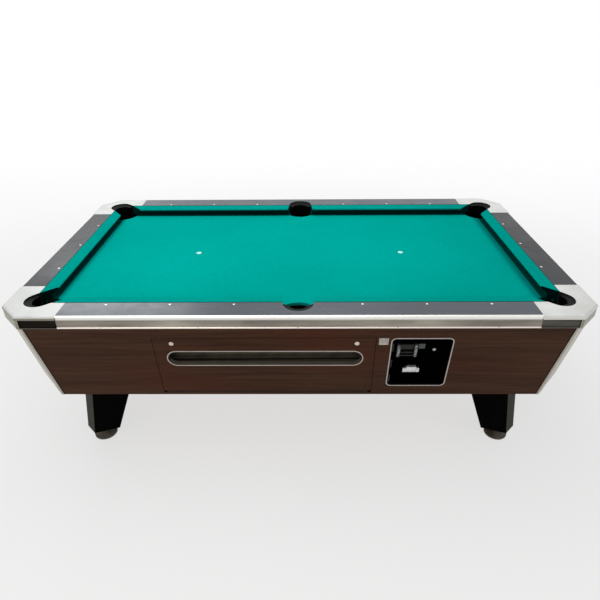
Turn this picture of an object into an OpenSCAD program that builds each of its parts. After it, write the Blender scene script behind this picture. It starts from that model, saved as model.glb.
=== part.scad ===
// Coin-operated pool table, seven-foot size.
// The origin is on the floor below the middle of the bed. The length runs along X,
// the coin side faces -Y and +Z points up.

/* [Playing field] */
// Length between the cushion noses
play_l = 2032; // [1940:1:2240]
// Width between the cushion noses
play_w = 1016; // [960:1:1120]
// Height of the cloth above the floor
bed_z = 768; // [750:1:800]
// Thickness of the slate
slate_t = 19; // [16:0.5:25]
// Thickness of the bed cloth
cloth_t = 1; // [0.6:0.1:1.4]

/* [Rails] */
// Height of the rail top above the cloth
rail_h = 45; // [42:0.5:50]
// Width of a rail from the cushion nose to its outer face
rail_w = 157; // [150:1:170]
// Depth of a cushion from its nose to the laminate
cushion_w = 53; // [48:1:58]
// Height of the cushion nose above the cloth
nose_h = 36.5; // [34:0.5:38]
// Thickness of the metal rail trim
trim_t = 3; // [2:0.5:4]
// How far the trim hangs below the cloth level
trim_drop = 11; // [8:1:14]
// Distance between two rail sights
sight_step = 254; // [242:1:270]
// Distance of the sights from the cushion nose
sight_in = 67; // [64:1:80]
// Radius of a rail sight
sight_r = 4.8; // [3:0.1:6]

/* [Pockets] */
// Width of a corner pocket between the cushion noses
corner_mouth = 122; // [114:1:128]
// Radius of the hole in a corner casting
corner_r = 57; // [54:0.5:60]
// Distance of the corner pocket centre outside both nose lines
corner_out = 30; // [26:1:34]
// Radius of the slate's edge inside a corner pocket
corner_drop_r = 94; // [88:1:100]
// Half width of the slate's cut at a corner pocket
corner_drop_w = 70; // [69:0.5:72]
// Width of a side pocket between the cushion noses
side_mouth = 140; // [130:1:146]
// Radius of the hole in a long rail
side_r = 62.5; // [60:0.5:65]
// Distance of the side pocket centre outside the nose line
side_out = 57; // [54:1:60]
// Radius of the slate's edge inside a side pocket
side_drop_r = 80; // [76:1:84]
// Half width of the slate's cut at a side pocket
side_drop_w = 60; // [56:1:62]
// Radius of the opening inside a pocket liner
liner_r = 45; // [40:0.5:48]
// Distance from a pocket centre to the centre of its liner's opening
liner_in = 17; // [12:1:20]
// Wall of a liner's drop boot
boot_t = 5; // [3:0.5:6]
// Height of the bottom of the drop boots below the cloth
boot_drop = 68; // [60:1:72]

/* [Castings] */
// Distance from the nose corner back to the seam of a casting
casting_reach = 85; // [80:1:92]
// How far a casting stands out from the rail's outer face
casting_out = 5; // [4.5:0.5:8]
// Length of the chamfer across the outer corner of a casting
casting_flat = 90; // [80:1:96]
// Thickness of the top plate of a casting
casting_t = 8; // [6:0.5:10]
// Radius of the rolled edge of a casting
casting_roll = 11; // [8:0.5:13]

/* [Cabinet] */
// Height of the cabinet from its bottom to the cloth level
cabinet_h = 390.5; // [370:0.5:400]
// Lean of the aprons from the vertical
taper = 8; // [6:0.5:9]
// Thickness of the apron boards
apron_t = 19; // [16:0.5:20]
// Setback of the front apron's top edge from the rail's outer face
front_set = 4.5; // [4.5:0.5:8]
// Setback of the end apron's top edge from the rail's outer face
end_set = 12.5; // [10:0.5:20]
// Width of the flat across a cabinet corner, along either side
corner_flat = 76.5; // [74:0.5:78]
// Thickness of the corner posts, square to the flat
post_t = 21; // [16:0.5:22]
// Thickness of the metal corner covers
cover_t = 1.2; // [0.8:0.1:1.4]
// Height of the cut at the foot of a cabinet corner
notch_h = 60; // [40:1:70]
// Width of the flat that the cut leaves at the foot
notch_keep = 43; // [36:1:60]
// Depth of that cut behind the flat
notch_in = 16; // [8:1:18]
// Thickness of the cabinet floor
floor_t = 18; // [12:1:22]
// Height of the cross beams below the slate
beam_h = 48; // [40:1:50]
// Width of a cross beam
beam_w = 38; // [30:1:50]

/* [Legs] */
// Distance from the end of the cabinet in to the nose of a leg, at its top
leg_set_x = 131; // [120:1:140]
// Distance from the side of the cabinet in to the nose of a leg, at its top
leg_set_y = 145; // [130:1:150]
// Half width of a leg's nose at its top
leg_nose = 41; // [36:1:46]
// Depth of a leg at its top, along the diagonal
leg_top_l = 175; // [160:1:190]
// Depth of a leg at its bottom, along the diagonal
leg_foot_l = 104; // [96:1:112]
// Angle between a leg's side and the diagonal
leg_side_a = 26; // [22:0.5:28]
// How far the foot of a leg stands out beyond its top
leg_splay = 49; // [40:1:56]
// Thickness of the leg boards
leg_wall = 16; // [12:1:18]
// Gap between the leg and the floor at the lowest setting
leg_gap = 61; // [56:1:70]
// Radius of a leveller's foot
foot_r = 53; // [44:1:56]
// Radius of a leveller's screw
screw_r = 8; // [6:0.5:10]

/* [Ball door] */
// Distance of the ball door's centre to the left of the table's middle
door_off = 136; // [120:1:150]
// Width of the ball door beyond either end of its slot
door_side = 44; // [34:1:56]
// Width of the sill below the ball door
sill_h = 14; // [10:1:16]
// Width of the apron above the ball door
head_h = 64; // [56:1:70]
// Gap round a door
door_gap = 2; // [1:0.5:3]
// Length of the ball slot
slot_w = 798; // [700:1:810]
// Height of the ball slot
slot_h = 84; // [76:1:88]
// Distance of the slot's middle below the top of the apron
slot_down = 175.8; // [168:0.2:184]
// Distance between the two cam locks
lock_span = 737; // [700:1:760]
// Distance of the cam locks below the top edge of the door
lock_down = 27; // [22:1:32]
// Radius of the lock barrels
lock_r = 8; // [6:0.5:8]
// Radius of the hinge barrels
knuckle_r = 4; // [3:0.5:4.5]
// Number of knuckles along the ball door's hinge
knuckles = 11; // [7:2:15]
// Radius of the hinge pins
pin_r = 1.6; // [1.2:0.1:2]

/* [Coin unit] */
// Distance of the coin door's centre to the right of the table's middle
coin_off = 491.5; // [480:0.5:500]
// Width of the coin door's frame
coin_w = 249; // [244:1:254]
// Height of the coin door's frame
coin_h = 274.5; // [270:0.5:280]
// Distance of the frame's middle below the top of the apron
coin_down = 202.3; // [198:0.1:206]
// Corner radius of the frame
coin_r = 22; // [18:1:26]
// Visible width of the metal trims
rim_w = 6; // [5:0.5:7]
// Thickness of the coin door
plate_t = 3; // [2:0.5:4]
// How deep the coin door lies behind the apron's face
plate_set = 4; // [3:0.5:5]

/* [Ball return] */
// Slope of the runways in degrees
run_slope = 0.8; // [0.6:0.1:0.9]
// Wall of the runways
run_t = 5; // [4:0.5:6]
// Half width of the dished runways
dish_w = 74; // [70:1:75]
// Distance of the long runways' middle from the table's middle
dish_y = 538; // [532:1:542]
// Inner width of the ball tray
tray_w = 62; // [60:1:64]
// Width of the cue ball cup
cup_w = 110; // [96:1:120]
// Height of the cue ball cup
cup_h = 92; // [84:1:96]

/* [Fits] */
// Gap between pieces that lie next to each other
seat_gap = 0.3; // [0.2:0.05:0.4]
// Radial clearance of pins and shafts
run_fit = 0.06; // [0.04:0.01:0.09]

/* [Hidden] */

$fn = 48;
far = 3000;
eps = 0.01;

laminate_c = [0.30, 0.30, 0.31];
walnut_c = [0.22, 0.16, 0.13];
steel_c = [0.62, 0.60, 0.56];
casting_c = [0.88, 0.88, 0.86];
cloth_c = [0.00, 0.60, 0.54];
black_c = [0.06, 0.06, 0.06];
pine_c = [0.72, 0.58, 0.40];

// Levels, from the floor up
rail_z = bed_z + rail_h;
slate_z1 = bed_z - cloth_t;
slate_z0 = slate_z1 - slate_t;
cab_z0 = bed_z - cabinet_h;
floor_z1 = cab_z0 + floor_t;
boot_z0 = bed_z - boot_drop;
beam_z0 = slate_z0 - beam_h;

// Plan of the rails
nose_x = play_l / 2;
nose_y = play_w / 2;
back_x = nose_x + cushion_w;
back_y = nose_y + cushion_w;
core_w = rail_w - trim_t;
seam_x = nose_x - casting_reach;
seam_y = nose_y - casting_reach;
out_x = nose_x + rail_w + casting_out;
out_y = nose_y + rail_w + casting_out;
chamfer_at = (out_x + out_y - casting_flat) / sqrt(2);

// Plan of the cabinet, which leans in going down
lean = tan(taper);
board = apron_t / cos(taper);
function front_at(z) = nose_y + rail_w - front_set - (bed_z - z) * lean;
function end_at(z) = nose_x + rail_w - end_set - (bed_z - z) * lean;
board_h = cabinet_h / cos(taper);

// Pockets: the corner pocket lies on the diagonal through the nose corner
corner_x = nose_x + corner_out;
corner_y = nose_y + corner_out;
mouth_set = corner_mouth / sqrt(2);
face_w = corner_r + 1;
face_in = (back_y - corner_y) * sqrt(2) - face_w;
side_y = nose_y + side_out;

// Leg plan at a height: nose distance, nose half width, depth
leg_z0 = leg_gap;
leg_foot_nose = leg_nose * 0.88;

// Ball door, in the plane of the front apron
door_w = slot_w + 2 * door_side;
slot_up = board_h - slot_down;
door_h0 = sill_h + 2 * knuckle_r + door_gap;
door_h1 = board_h - head_h - door_gap;
hinge_h = (sill_h + door_h0) / 2;
hinge_n = -knuckle_r + 1;
leaf_t = 1.5;
leaf_w = 14;
lock_h = door_h1 - lock_down;
cam_t = 3;

// Coin door, in the plane of the front apron
coin_up = board_h - coin_down;
inner_w = coin_w - 2 * rim_w;
inner_h = coin_h - 2 * rim_w;
neck_t = 1.5;
neck_w = inner_w + 2 * neck_t;
neck_h = inner_h + 2 * neck_t;
neck_r = coin_r - rim_w + neck_t;
plate_w = inner_w - 2 * door_gap;
plate_h = inner_h - 2 * door_gap;
coin_hinge_x = coin_off - inner_w / 2 + knuckle_r + 0.6;
coin_hinge_n = 1.5;
coin_lock_x = coin_off + 51.5;
coin_lock_h = coin_up + 73;

// Runways
dish_d = 40;
dish_slope = tan(run_slope);
cross_x = end_at(bed_z - 170) - board - dish_w - 2;
dish_z = boot_z0 - dish_d - 6;
dish_x1 = end_at(dish_z) - board - 4;
dish_x0 = -cross_x + dish_w + 3;
function dish_floor(x) = dish_z - (dish_x1 - x) * dish_slope;
cross_z = dish_floor(dish_x0) - 26;
return_y = dish_y - dish_w - 42;
return_w = 66;
return_h = 44;
function cross_floor(y) = cross_z - (y > -return_y ? dish_y - y : dish_y + 2 * return_y + y) * dish_slope;
dish_flat = 22;
return_x0 = dish_flat - cross_x;
return_z = cross_floor(-return_y) - 2;
function return_floor(x) = return_z - (x - return_x0) * dish_slope;
gate_arm = 62;
tray_t = 5;
lead_w = 62;
return_x1 = -door_off + door_w / 2 - 8 - lead_w - 2 * tray_t - 2;
gate_x = return_x1 - 14;

// Ball tray behind the door
upright_w = 18;
upright_d = 30;
tray_x0 = -door_off - door_w / 2 + 8;
tray_x1 = -door_off + door_w / 2 - 8;
tray_z = cab_z0 + (slot_up - slot_h / 2) * cos(taper) - 1;
tray_front = front_at(tray_z) - board - 2;
tray_back = tray_front - tray_w;

// Cue ball cup in the left end apron
cup_y = 190;
cup_down = 264.3;
cup_up = board_h - cup_down;
cup_clear = 2;
cue_w = 68;

// Basic forms

module at_corner(sx, sy) {
    mirror([sx < 0 ? 1 : 0, 0, 0])
        mirror([0, sy < 0 ? 1 : 0, 0])
            children();
}

module all_corners() {
    for (sx = [-1, 1], sy = [-1, 1]) at_corner(sx, sy) children();
}

module slab(z0, z1) {
    translate([-far, -far, z0]) cube([2 * far, 2 * far, z1 - z0]);
}

module rounded(w, h, r) {
    square([w - 2 * r, h], center = true);
    square([w, h - 2 * r], center = true);
    for (x = [-1, 1], y = [-1, 1])
        translate([x * (w / 2 - r), y * (h / 2 - r)]) circle(r = r);
}

module stadium(w, h) {
    square([w - h, h], center = true);
    for (x = [-1, 1]) translate([x * (w - h) / 2, 0]) circle(d = h, $fn = 64);
}

// A solid between an outline at z0 and one with as many points at z1
module loft(low, high, z0, z1) {
    n = len(low);
    polyhedron(
        points = concat([for (p = low) [p[0], p[1], z0]], [for (p = high) [p[0], p[1], z1]]),
        faces = concat(
            [[for (i = [0 : n - 1]) i]],
            [[for (i = [n - 1 : -1 : 0]) n + i]],
            [for (i = [0 : n - 1]) [(i + 1) % n, i, n + i, n + (i + 1) % n]]));
}

// Frames of the four aprons: X along the board, Y up the board, Z outwards
module on_front() {
    translate([0, -front_at(cab_z0), cab_z0]) rotate([90 + taper, 0, 0]) children();
}

module on_back() {
    rotate([0, 0, 180]) on_front() children();
}

module on_right() {
    translate([end_at(cab_z0), 0, cab_z0])
        rotate([0, 0, 90]) rotate([90 + taper, 0, 0]) children();
}

module on_left() {
    rotate([0, 0, 180]) on_right() children();
}

// Frame of a cabinet corner's flat, at +X +Y; its X runs towards the long side
module on_flat() {
    translate([end_at(cab_z0) - corner_flat / 2, front_at(cab_z0) - corner_flat / 2, cab_z0])
        rotate([0, 0, 135]) rotate([90 + atan(lean * sqrt(2)), 0, 0]) children();
}

// Half of all space, below or above a depth in a board's frame
module below(n) {
    translate([-far, -far, n - far]) cube([2 * far, 2 * far, far]);
}

module above(n) {
    translate([-far, -far, n]) cube([2 * far, 2 * far, far]);
}

// Half of all space beyond a place along X
module above_x(x) {
    translate([x, -far, -far]) cube([far, 2 * far, 2 * far]);
}

// A block in a board's frame, from depth n0 to n1
module board_block(n0, n1) {
    translate([0, 0, n0]) linear_extrude(n1 - n0) children();
}

// A section in (outwards, up) drawn out along a rail; angle 90 is the back rail
module along_rail(angle, dist, length) {
    rotate([0, 0, angle]) translate([dist, 0, rail_z]) rotate([90, 0, 0])
        linear_extrude(length, center = true) children();
}

// Pocket outlines, for the corner at +X +Y and the side at +Y

// Hole of a casting, with its throat to the cushion ends
module corner_hole(g) {
    translate([corner_x, corner_y]) rotate(45) {
        circle(r = corner_r + g, $fn = 96);
        reach = (corner_x - nose_x + mouth_set / 2) * sqrt(2);
        polygon([[0, corner_r + g], [face_in, face_w + g], [-reach, corner_mouth / 2 + g],
            [-2 * reach, corner_mouth / 2 + g], [-2 * reach, -corner_mouth / 2 - g],
            [-reach, -corner_mouth / 2 - g], [face_in, -face_w - g], [0, -corner_r - g]]);
    }
}

// Opening inside a corner liner
module corner_opening(g) {
    translate([corner_x, corner_y]) rotate(45) {
        translate([-liner_in, 0]) circle(r = liner_r + g, $fn = 96);
        polygon([[-liner_in, 0.85 * liner_r], [face_in - 2, face_w], [-2 * corner_r, corner_mouth],
            [-2 * corner_r, -corner_mouth], [face_in - 2, -face_w], [-liner_in, -0.85 * liner_r]]);
    }
}

module side_opening(g) {
    translate([0, side_y - liner_in]) circle(r = liner_r + g, $fn = 96);
    top = side_y - liner_in;
    polygon([[0.85 * liner_r, top], [side_r - 2, back_y - 1], [side_mouth, nose_y - side_mouth],
        [-side_mouth, nose_y - side_mouth], [2 - side_r, back_y - 1], [-0.85 * liner_r, top]]);
}

// Cut of the slate for a pocket, open outwards; X points out of the table
module drop(r, w) {
    intersection() {
        circle(r = r, $fn = 96);
        translate([-r, -w]) square([r + 1, 2 * w]);
    }
    translate([0, -w]) square([far, 2 * w]);
}

// Outline of a drop boot inside that cut, closed outwards
module boot_outline(r, w) {
    intersection() {
        circle(r = r, $fn = 96);
        polygon([[-r - 1, -w], [0.4 * w, -w], [w, -w / 2], [w, w / 2], [0.4 * w, w], [-r - 1, w]]);
    }
}

module corner_drop() {
    translate([corner_x, corner_y]) rotate(45) drop(corner_drop_r, corner_drop_w);
}

module side_drop() {
    translate([0, side_y]) rotate(90) drop(side_drop_r, side_drop_w);
}

module corner_boot(g) {
    translate([corner_x, corner_y]) rotate(45)
        boot_outline(corner_drop_r - g, corner_drop_w - g);
}

module side_boot(g) {
    translate([0, side_y]) rotate(90) boot_outline(side_drop_r - g, side_drop_w - g);
}

// The region of the playing field and its cushions
module field() {
    square([2 * back_x, 2 * back_y], center = true);
}

// Bed

module bed_outline(set) {
    slate_x = end_at(slate_z0) - board - set;
    slate_y = front_at(slate_z0) - board - set;
    difference() {
        square([2 * slate_x, 2 * slate_y], center = true);
        all_corners() corner_drop();
        for (s = [0, 1]) mirror([0, s, 0]) side_drop();
    }
}

bolt_xs = [-0.6, -0.2, 0.2, 0.6] * nose_x;
bolt_ys = [-0.5, 0.5] * nose_y;
bolt_r = 5;
rail_bolt_in = 92;

// Places of the bolts that hold the rails down through the slate
module rail_bolt_places() {
    for (x = bolt_xs, s = [-1, 1]) translate([x, s * (nose_y + rail_bolt_in)]) children();
    for (y = bolt_ys, s = [-1, 1]) translate([s * (nose_x + rail_bolt_in), y]) children();
}

module slate_bed() {
    color([0.35, 0.36, 0.37]) translate([0, 0, slate_z0]) linear_extrude(slate_t) difference() {
        bed_outline(3);
        rail_bolt_places() circle(r = bolt_r + 1);
    }
}

module bed_cloth() {
    color(cloth_c) translate([0, 0, slate_z1]) linear_extrude(cloth_t) difference() {
        bed_outline(3);
        rail_bolt_places() circle(r = bolt_r + 1);
    }
}

// Rails

roll_r = trim_t + 4;

// Wooden core with its laminate top, in (outwards from the outer face, down from the top)
module rail_section(height, top_cut) {
    wide = core_w - cushion_w;
    if (top_cut > 0) {
        translate([-wide, -rail_h]) square([wide - 4, height]);
    } else {
        translate([-wide, -height]) square([wide - roll_r + trim_t, height]);
        translate([-wide, -height]) square([wide, height - roll_r]);
        translate([-roll_r + trim_t, -roll_r]) circle(r = roll_r - trim_t - seat_gap);
    }
}

module sight_places(g) {
    for (i = [1 : 3], sx = [-1, 1], sy = [-1, 1])
        translate([sx * i * sight_step, sy * (nose_y + sight_in)]) circle(r = sight_r + g);
    for (i = [-1 : 1], sx = [-1, 1])
        translate([sx * (nose_x + sight_in), i * sight_step]) circle(r = sight_r + g);
}

sight_t = 2;

module long_rail(angle) {
    difference() {
        union() {
            along_rail(angle, nose_y + core_w, 2 * seam_x) rail_section(rail_h, 0);
            along_rail(angle, nose_y + core_w, 2 * seam_x + 80)
                rail_section(rail_h - casting_t - seat_gap, 1);
        }
        rotate([0, 0, angle - 90]) translate([0, side_y, bed_z - 1])
            cylinder(r = side_r, h = rail_h + 2, $fn = 96);
        translate([0, 0, rail_z - sight_t]) linear_extrude(sight_t + 1) sight_places(0.1);
        translate([0, 0, bed_z - 1]) linear_extrude(26)
            rail_bolt_places() circle(r = bolt_r + 0.2);
    }
}

module end_rail(angle) {
    difference() {
        union() {
            along_rail(angle, nose_x + core_w, 2 * seam_y) rail_section(rail_h, 0);
            along_rail(angle, nose_x + core_w, 2 * seam_y + 80)
                rail_section(rail_h - casting_t - seat_gap, 1);
        }
        translate([0, 0, rail_z - sight_t]) linear_extrude(sight_t + 1) sight_places(0.1);
        translate([0, 0, bed_z - 1]) linear_extrude(26)
            rail_bolt_places() circle(r = bolt_r + 0.2);
    }
}

module rail_front() { color(laminate_c) long_rail(-90); }
module rail_back() { color(laminate_c) long_rail(90); }
module rail_left() { color(laminate_c) end_rail(180); }
module rail_right() { color(laminate_c) end_rail(0); }

module rail_sights() {
    color("white") translate([0, 0, rail_z - sight_t]) linear_extrude(sight_t) sight_places(0);
}

// Cushion section in (outwards from the nose, up from the rail top)
module cushion_section() {
    low = seat_gap - rail_h;
    nose = nose_h - rail_h;
    polygon([[cushion_w, low], [cushion_w, -0.4], [cushion_w - 4, -0.4], [6, nose + 4.6],
        [1.6, nose + 3.4], [0, nose + 0.8], [0.4, nose - 2.4], [3, nose - 5.5],
        [17, nose - 16], [22, nose - 22], [22, low]]);
}

module cushion(angle, nose, outline) {
    intersection() {
        along_rail(angle, nose, 2 * far) cushion_section();
        translate([0, 0, bed_z]) linear_extrude(rail_h) polygon(outline);
    }
}

corner_back = mouth_set - (back_y - corner_y - face_in * sqrt(2)) - corner_out;

// Half of a long rail, from the side pocket to the corner pocket, in +X +Y
module long_cushion() {
    g = seat_gap;
    corner_end = corner_x + (face_in - face_w) / sqrt(2);
    color(cloth_c) cushion(90, nose_y, [
        [side_mouth / 2 + g, nose_y - 1], [side_r + g, back_y - g], [corner_end - g, back_y - g],
        [nose_x - mouth_set - g, nose_y], [nose_x - mouth_set - g, nose_y - 1]]);
}

// Whole end rail, between two corner pockets, at +X
module end_cushion() {
    g = seat_gap;
    corner_end = corner_y + (face_in - face_w) / sqrt(2);
    color(cloth_c) cushion(0, nose_x, [
        [nose_x - 1, mouth_set - nose_y + g], [nose_x, mouth_set - nose_y + g],
        [back_x - g, g - corner_end], [back_x - g, corner_end - g],
        [nose_x, nose_y - mouth_set - g], [nose_x - 1, nose_y - mouth_set - g]]);
}

module cushion_front_left() { at_corner(-1, -1) long_cushion(); }
module cushion_front_right() { at_corner(1, -1) long_cushion(); }
module cushion_back_left() { at_corner(-1, 1) long_cushion(); }
module cushion_back_right() { at_corner(1, 1) long_cushion(); }
module cushion_left_end() { at_corner(-1, 1) end_cushion(); }
module cushion_right_end() { end_cushion(); }

// Rolled trim with a lower bead, in (outwards from the rail's face, down from the top)
module trim_section() {
    deep = rail_h + trim_drop;
    inner = roll_r - trim_t;
    difference() {
        union() {
            translate([-inner, -roll_r]) circle(r = roll_r);
            translate([0, -deep]) square([trim_t, deep - roll_r]);
            translate([trim_t - 0.5, 4 - deep]) circle(r = 4);
        }
        translate([-inner, -roll_r]) circle(r = inner);
        translate([-far, -far]) square([far - inner, 2 * far]);
        translate([-far, -far]) square([far, far - roll_r]);
    }
}

module trim(angle, dist, seam) {
    color(steel_c) along_rail(angle, dist, 2 * (seam - seat_gap)) trim_section();
}

module trim_front() { trim(-90, nose_y + core_w, seam_x); }
module trim_back() { trim(90, nose_y + core_w, seam_x); }
module trim_left() { trim(180, nose_x + core_w, seam_y); }
module trim_right() { trim(0, nose_x + core_w, seam_y); }

// Corner castings: three profiles meet at the mitres of the chamfered corner

skirt_t = 4;
skirt_in = 5;
block_in = 1;
block_w = 13;
roll_edge = 0.05;

module casting_profile() {
    deep = rail_h + trim_drop - 1;
    wide = 2 * casting_reach + rail_w + 60;
    intersection() {
        union() {
            translate([-casting_roll, -casting_roll]) circle(r = casting_roll + roll_edge);
            translate([-wide, -casting_roll]) square([wide - casting_roll, casting_roll]);
            translate([-wide, -casting_roll - 4]) square([wide, 4]);
        }
        translate([-wide, -deep]) square([wide, deep]);
    }
    translate([-wide, -deep]) square([wide - skirt_in, deep - casting_roll]);
    translate([-wide, -deep]) square([wide - skirt_in + 3, 4]);
}

// Skirt that stands forward of the recess, where the casting turns its corner
module block_profile() {
    deep = rail_h + trim_drop - 1;
    wide = 2 * casting_reach + rail_w + 60;
    translate([-wide, -deep]) square([wide - block_in, deep - casting_roll - 2]);
}

module casting_hollow() {
    deep = rail_h + trim_drop;
    wide = 2 * casting_reach + rail_w + 60;
    translate([-wide, -deep - 1])
        square([wide - skirt_in - skirt_t, deep + 1 - casting_t]);
}

// The same profile on the long side, the end side and the chamfer
module three_sides() {
    intersection() {
        along_rail(90, out_y, 2 * far) children();
        along_rail(0, out_x, 2 * far) children();
        along_rail(45, chamfer_at, 2 * far) children();
    }
}

module casting() {
    g = seat_gap;
    wall = 4;
    color(casting_c) difference() {
        intersection() {
            union() {
                three_sides() casting_profile();
                intersection() {
                    three_sides() block_profile();
                    rotate([0, 0, 45]) above_x(chamfer_at - block_w / sqrt(2));
                }
            }
            translate([seam_x, seam_y, 0]) cube([far, far, far]);
        }
        translate([0, 0, 0]) linear_extrude(far) field();
        linear_extrude(far) corner_hole(0);
        difference() {
            three_sides() casting_hollow();
            translate([0, 0, bed_z + g]) linear_extrude(rail_h) difference() {
                corner_hole(wall);
                square([2 * (back_x + g), 2 * (back_y + g)], center = true);
            }
        }
    }
}

module casting_front_left() { at_corner(-1, -1) casting(); }
module casting_front_right() { at_corner(1, -1) casting(); }
module casting_back_left() { at_corner(-1, 1) casting(); }
module casting_back_right() { at_corner(1, 1) casting(); }

// Pocket liners: a padded crescent above the cloth, and a drop boot through the slate

liner_top = rail_z - 3;
liner_fit = 0.5;
boot_gap = 2;

// Outlines of the liners above the cloth, before their openings are cut
module corner_crescent(g) {
    difference() {
        translate([corner_x, corner_y]) circle(r = corner_r - liner_fit - g, $fn = 96);
        square([2 * (back_x + seat_gap + g), 2 * (back_y + seat_gap + g)], center = true);
    }
}

module side_crescent(g) {
    difference() {
        translate([0, side_y]) circle(r = side_r - liner_fit - g, $fn = 96);
        square([2 * back_x, 2 * (back_y + seat_gap + g)], center = true);
    }
}

// Cone that slopes the crescent's top down to the opening
module lip_cone() {
    translate([0, 0, liner_top - 10]) cylinder(r1 = liner_r - 4, r2 = liner_r + 40, h = 11, $fn = 96);
}

// Pocket liner made of its crescent, neck, opening and the boot's outside and inside
module liner(cone_x, cone_y) {
    shelf_z = slate_z1 - 10;
    difference() {
        union() {
            translate([0, 0, bed_z + seat_gap]) linear_extrude(liner_top - bed_z - seat_gap)
                children(0);
            translate([0, 0, shelf_z + 2]) linear_extrude(bed_z + seat_gap + 3 - shelf_z - 2)
                intersection() { children(1); children(3); }
            translate([0, 0, boot_z0]) linear_extrude(shelf_z + 9 - boot_z0) children(3);
        }
        translate([0, 0, boot_z0 - 1]) linear_extrude(shelf_z + 1 - boot_z0) children(4);
        translate([0, 0, shelf_z - 1]) linear_extrude(far) children(2);
        translate([cone_x, cone_y, 0]) lip_cone();
    }
}

module corner_liner() {
    c = liner_in / sqrt(2);
    color(black_c) liner(corner_x - c, corner_y - c) {
        corner_crescent(0);
        corner_crescent(1);
        corner_opening(0);
        corner_boot(boot_gap);
        corner_boot(boot_gap + boot_t);
    }
}

module side_liner() {
    color(black_c) liner(0, side_y - liner_in) {
        side_crescent(0);
        side_crescent(1);
        side_opening(0);
        side_boot(boot_gap);
        side_boot(boot_gap + boot_t);
    }
}

module liner_front_left() { at_corner(-1, -1) corner_liner(); }
module liner_front_right() { at_corner(1, -1) corner_liner(); }
module liner_back_left() { at_corner(-1, 1) corner_liner(); }
module liner_back_right() { at_corner(1, 1) corner_liner(); }
module liner_front_side() { at_corner(1, -1) side_liner(); }
module liner_back_side() { side_liner(); }

// Aprons

// Outline of a board whose ends follow the cabinet corners
module board_outline(half_at_top) {
    low = -0.1 * board_h;
    high = 1.1 * board_h;
    k = sin(taper);
    half0 = half_at_top - cabinet_h * lean;
    polygon([[-half0 - low * k, low], [half0 + low * k, low],
        [half0 + high * k, high], [-half0 - high * k, high]]);
}

front_half = end_at(bed_z) - corner_flat;
end_half = front_at(bed_z) - corner_flat;

module apron_front() {
    color(walnut_c) intersection() {
        on_front() board_block(-apron_t, 0) difference() {
            board_outline(front_half);
            translate([-door_off - door_w / 2 - door_gap, sill_h])
                square([door_w + 2 * door_gap, door_h1 + door_gap - sill_h]);
            translate([coin_off, coin_up])
                rounded(neck_w + 0.4, neck_h + 0.4, neck_r / 2 + 2);
        }
        slab(cab_z0, bed_z);
    }
}

module apron_back() {
    color(walnut_c) intersection() {
        on_back() board_block(-apron_t, 0) board_outline(front_half);
        slab(cab_z0, bed_z);
    }
}

// Cut at the foot of a cabinet corner, in the plane of its flat
module corner_notch() {
    half = corner_flat / sqrt(2);
    edge = half - notch_keep;
    on_flat() board_block(-notch_in, 20)
        polygon([[edge, -30], [edge, 0.25 * notch_h], [edge - 6, 0.42 * notch_h],
            [-0.65 * half, 0.76 * notch_h], [-0.94 * half, notch_h],
            [-1.9 * half, 1.35 * notch_h], [-1.9 * half, -30]]);
}

module apron_left() {
    color(walnut_c) difference() {
        intersection() {
            on_left() board_block(-apron_t, 0) difference() {
                board_outline(end_half);
                translate([cup_y, cup_up]) rounded(cup_w + 1, cup_h + 1, 12);
            }
            slab(cab_z0, bed_z);
        }
        all_corners() corner_notch();
    }
}

module apron_right() {
    color(walnut_c) difference() {
        intersection() {
            on_right() board_block(-apron_t, 0) board_outline(end_half);
            slab(cab_z0, bed_z);
        }
        all_corners() corner_notch();
    }
}

beam_xs = [-0.78, -0.3, 0.3, 0.78] * nose_x;

// Corner posts, and cross beams that carry the slate between the aprons
module inner_frame() {
    low = front_at(beam_z0) - board - seat_gap;
    high = front_at(slate_z0) - board - seat_gap;
    side = -corner_flat * cos(taper);
    color(pine_c) {
        all_corners() difference() {
            intersection() {
                on_flat() board_block(-post_t, 0) square([corner_flat * sqrt(2), far], center = true);
                on_right() above(side);
                on_back() above(side);
                slab(cab_z0, bed_z);
            }
            corner_notch();
        }
        for (x = beam_xs) translate([x - beam_w / 2, 0, 0])
            rotate([90, 0, 90]) linear_extrude(beam_w)
                polygon([[-low, beam_z0], [low, beam_z0], [high, slate_z0], [-high, slate_z0]]);
    }
}

// Metal covers bent round the corner flats, with a flange on each apron
module corner_covers() {
    g = seat_gap;
    t = cover_t;
    wide = corner_flat * sqrt(2) + t;
    color(steel_c) all_corners() difference() {
        intersection() {
            union() {
                on_flat() board_block(g, g + t) square([wide, far], center = true);
                on_back() cover_flange(front_half - cabinet_h * lean, -1);
                on_right() cover_flange(end_half - cabinet_h * lean, 1);
            }
            slab(cab_z0, bed_z - trim_drop - 1);
        }
        corner_notch();
    }
}

// Strip along the edge of an apron board, whose half width at the bottom is half0
module cover_flange(half0, side) {
    k = sin(taper);
    low = -0.1 * board_h;
    high = 1.1 * board_h;
    over = seat_gap / 2 + cover_t / 2;
    board_block(seat_gap, seat_gap + cover_t)
        polygon([[side * (half0 + low * k - 9), low], [side * (half0 + low * k + over), low],
            [side * (half0 + high * k + over), high], [side * (half0 + high * k - 9), high]]);
}

module cabinet_floor() {
    x = end_at(cab_z0) - board - seat_gap;
    y = front_at(cab_z0) - board - seat_gap;
    cut = corner_flat + post_t * sqrt(2) - 2 * board + 1;
    color(pine_c) difference() {
        translate([-x, -y, cab_z0]) cube([2 * x, 2 * y, floor_t]);
        all_corners() translate([x, y, cab_z0 - 1]) linear_extrude(floor_t + 2)
            polygon([[1, -cut], [1, 1], [-cut, 1]]);
        leg_bolt_places() translate([0, 0, cab_z0 - 1]) cylinder(r = bolt_r + 1, h = floor_t + 2);
    }
}

// Legs: a wedge of boards on the diagonal, open at the back

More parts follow.
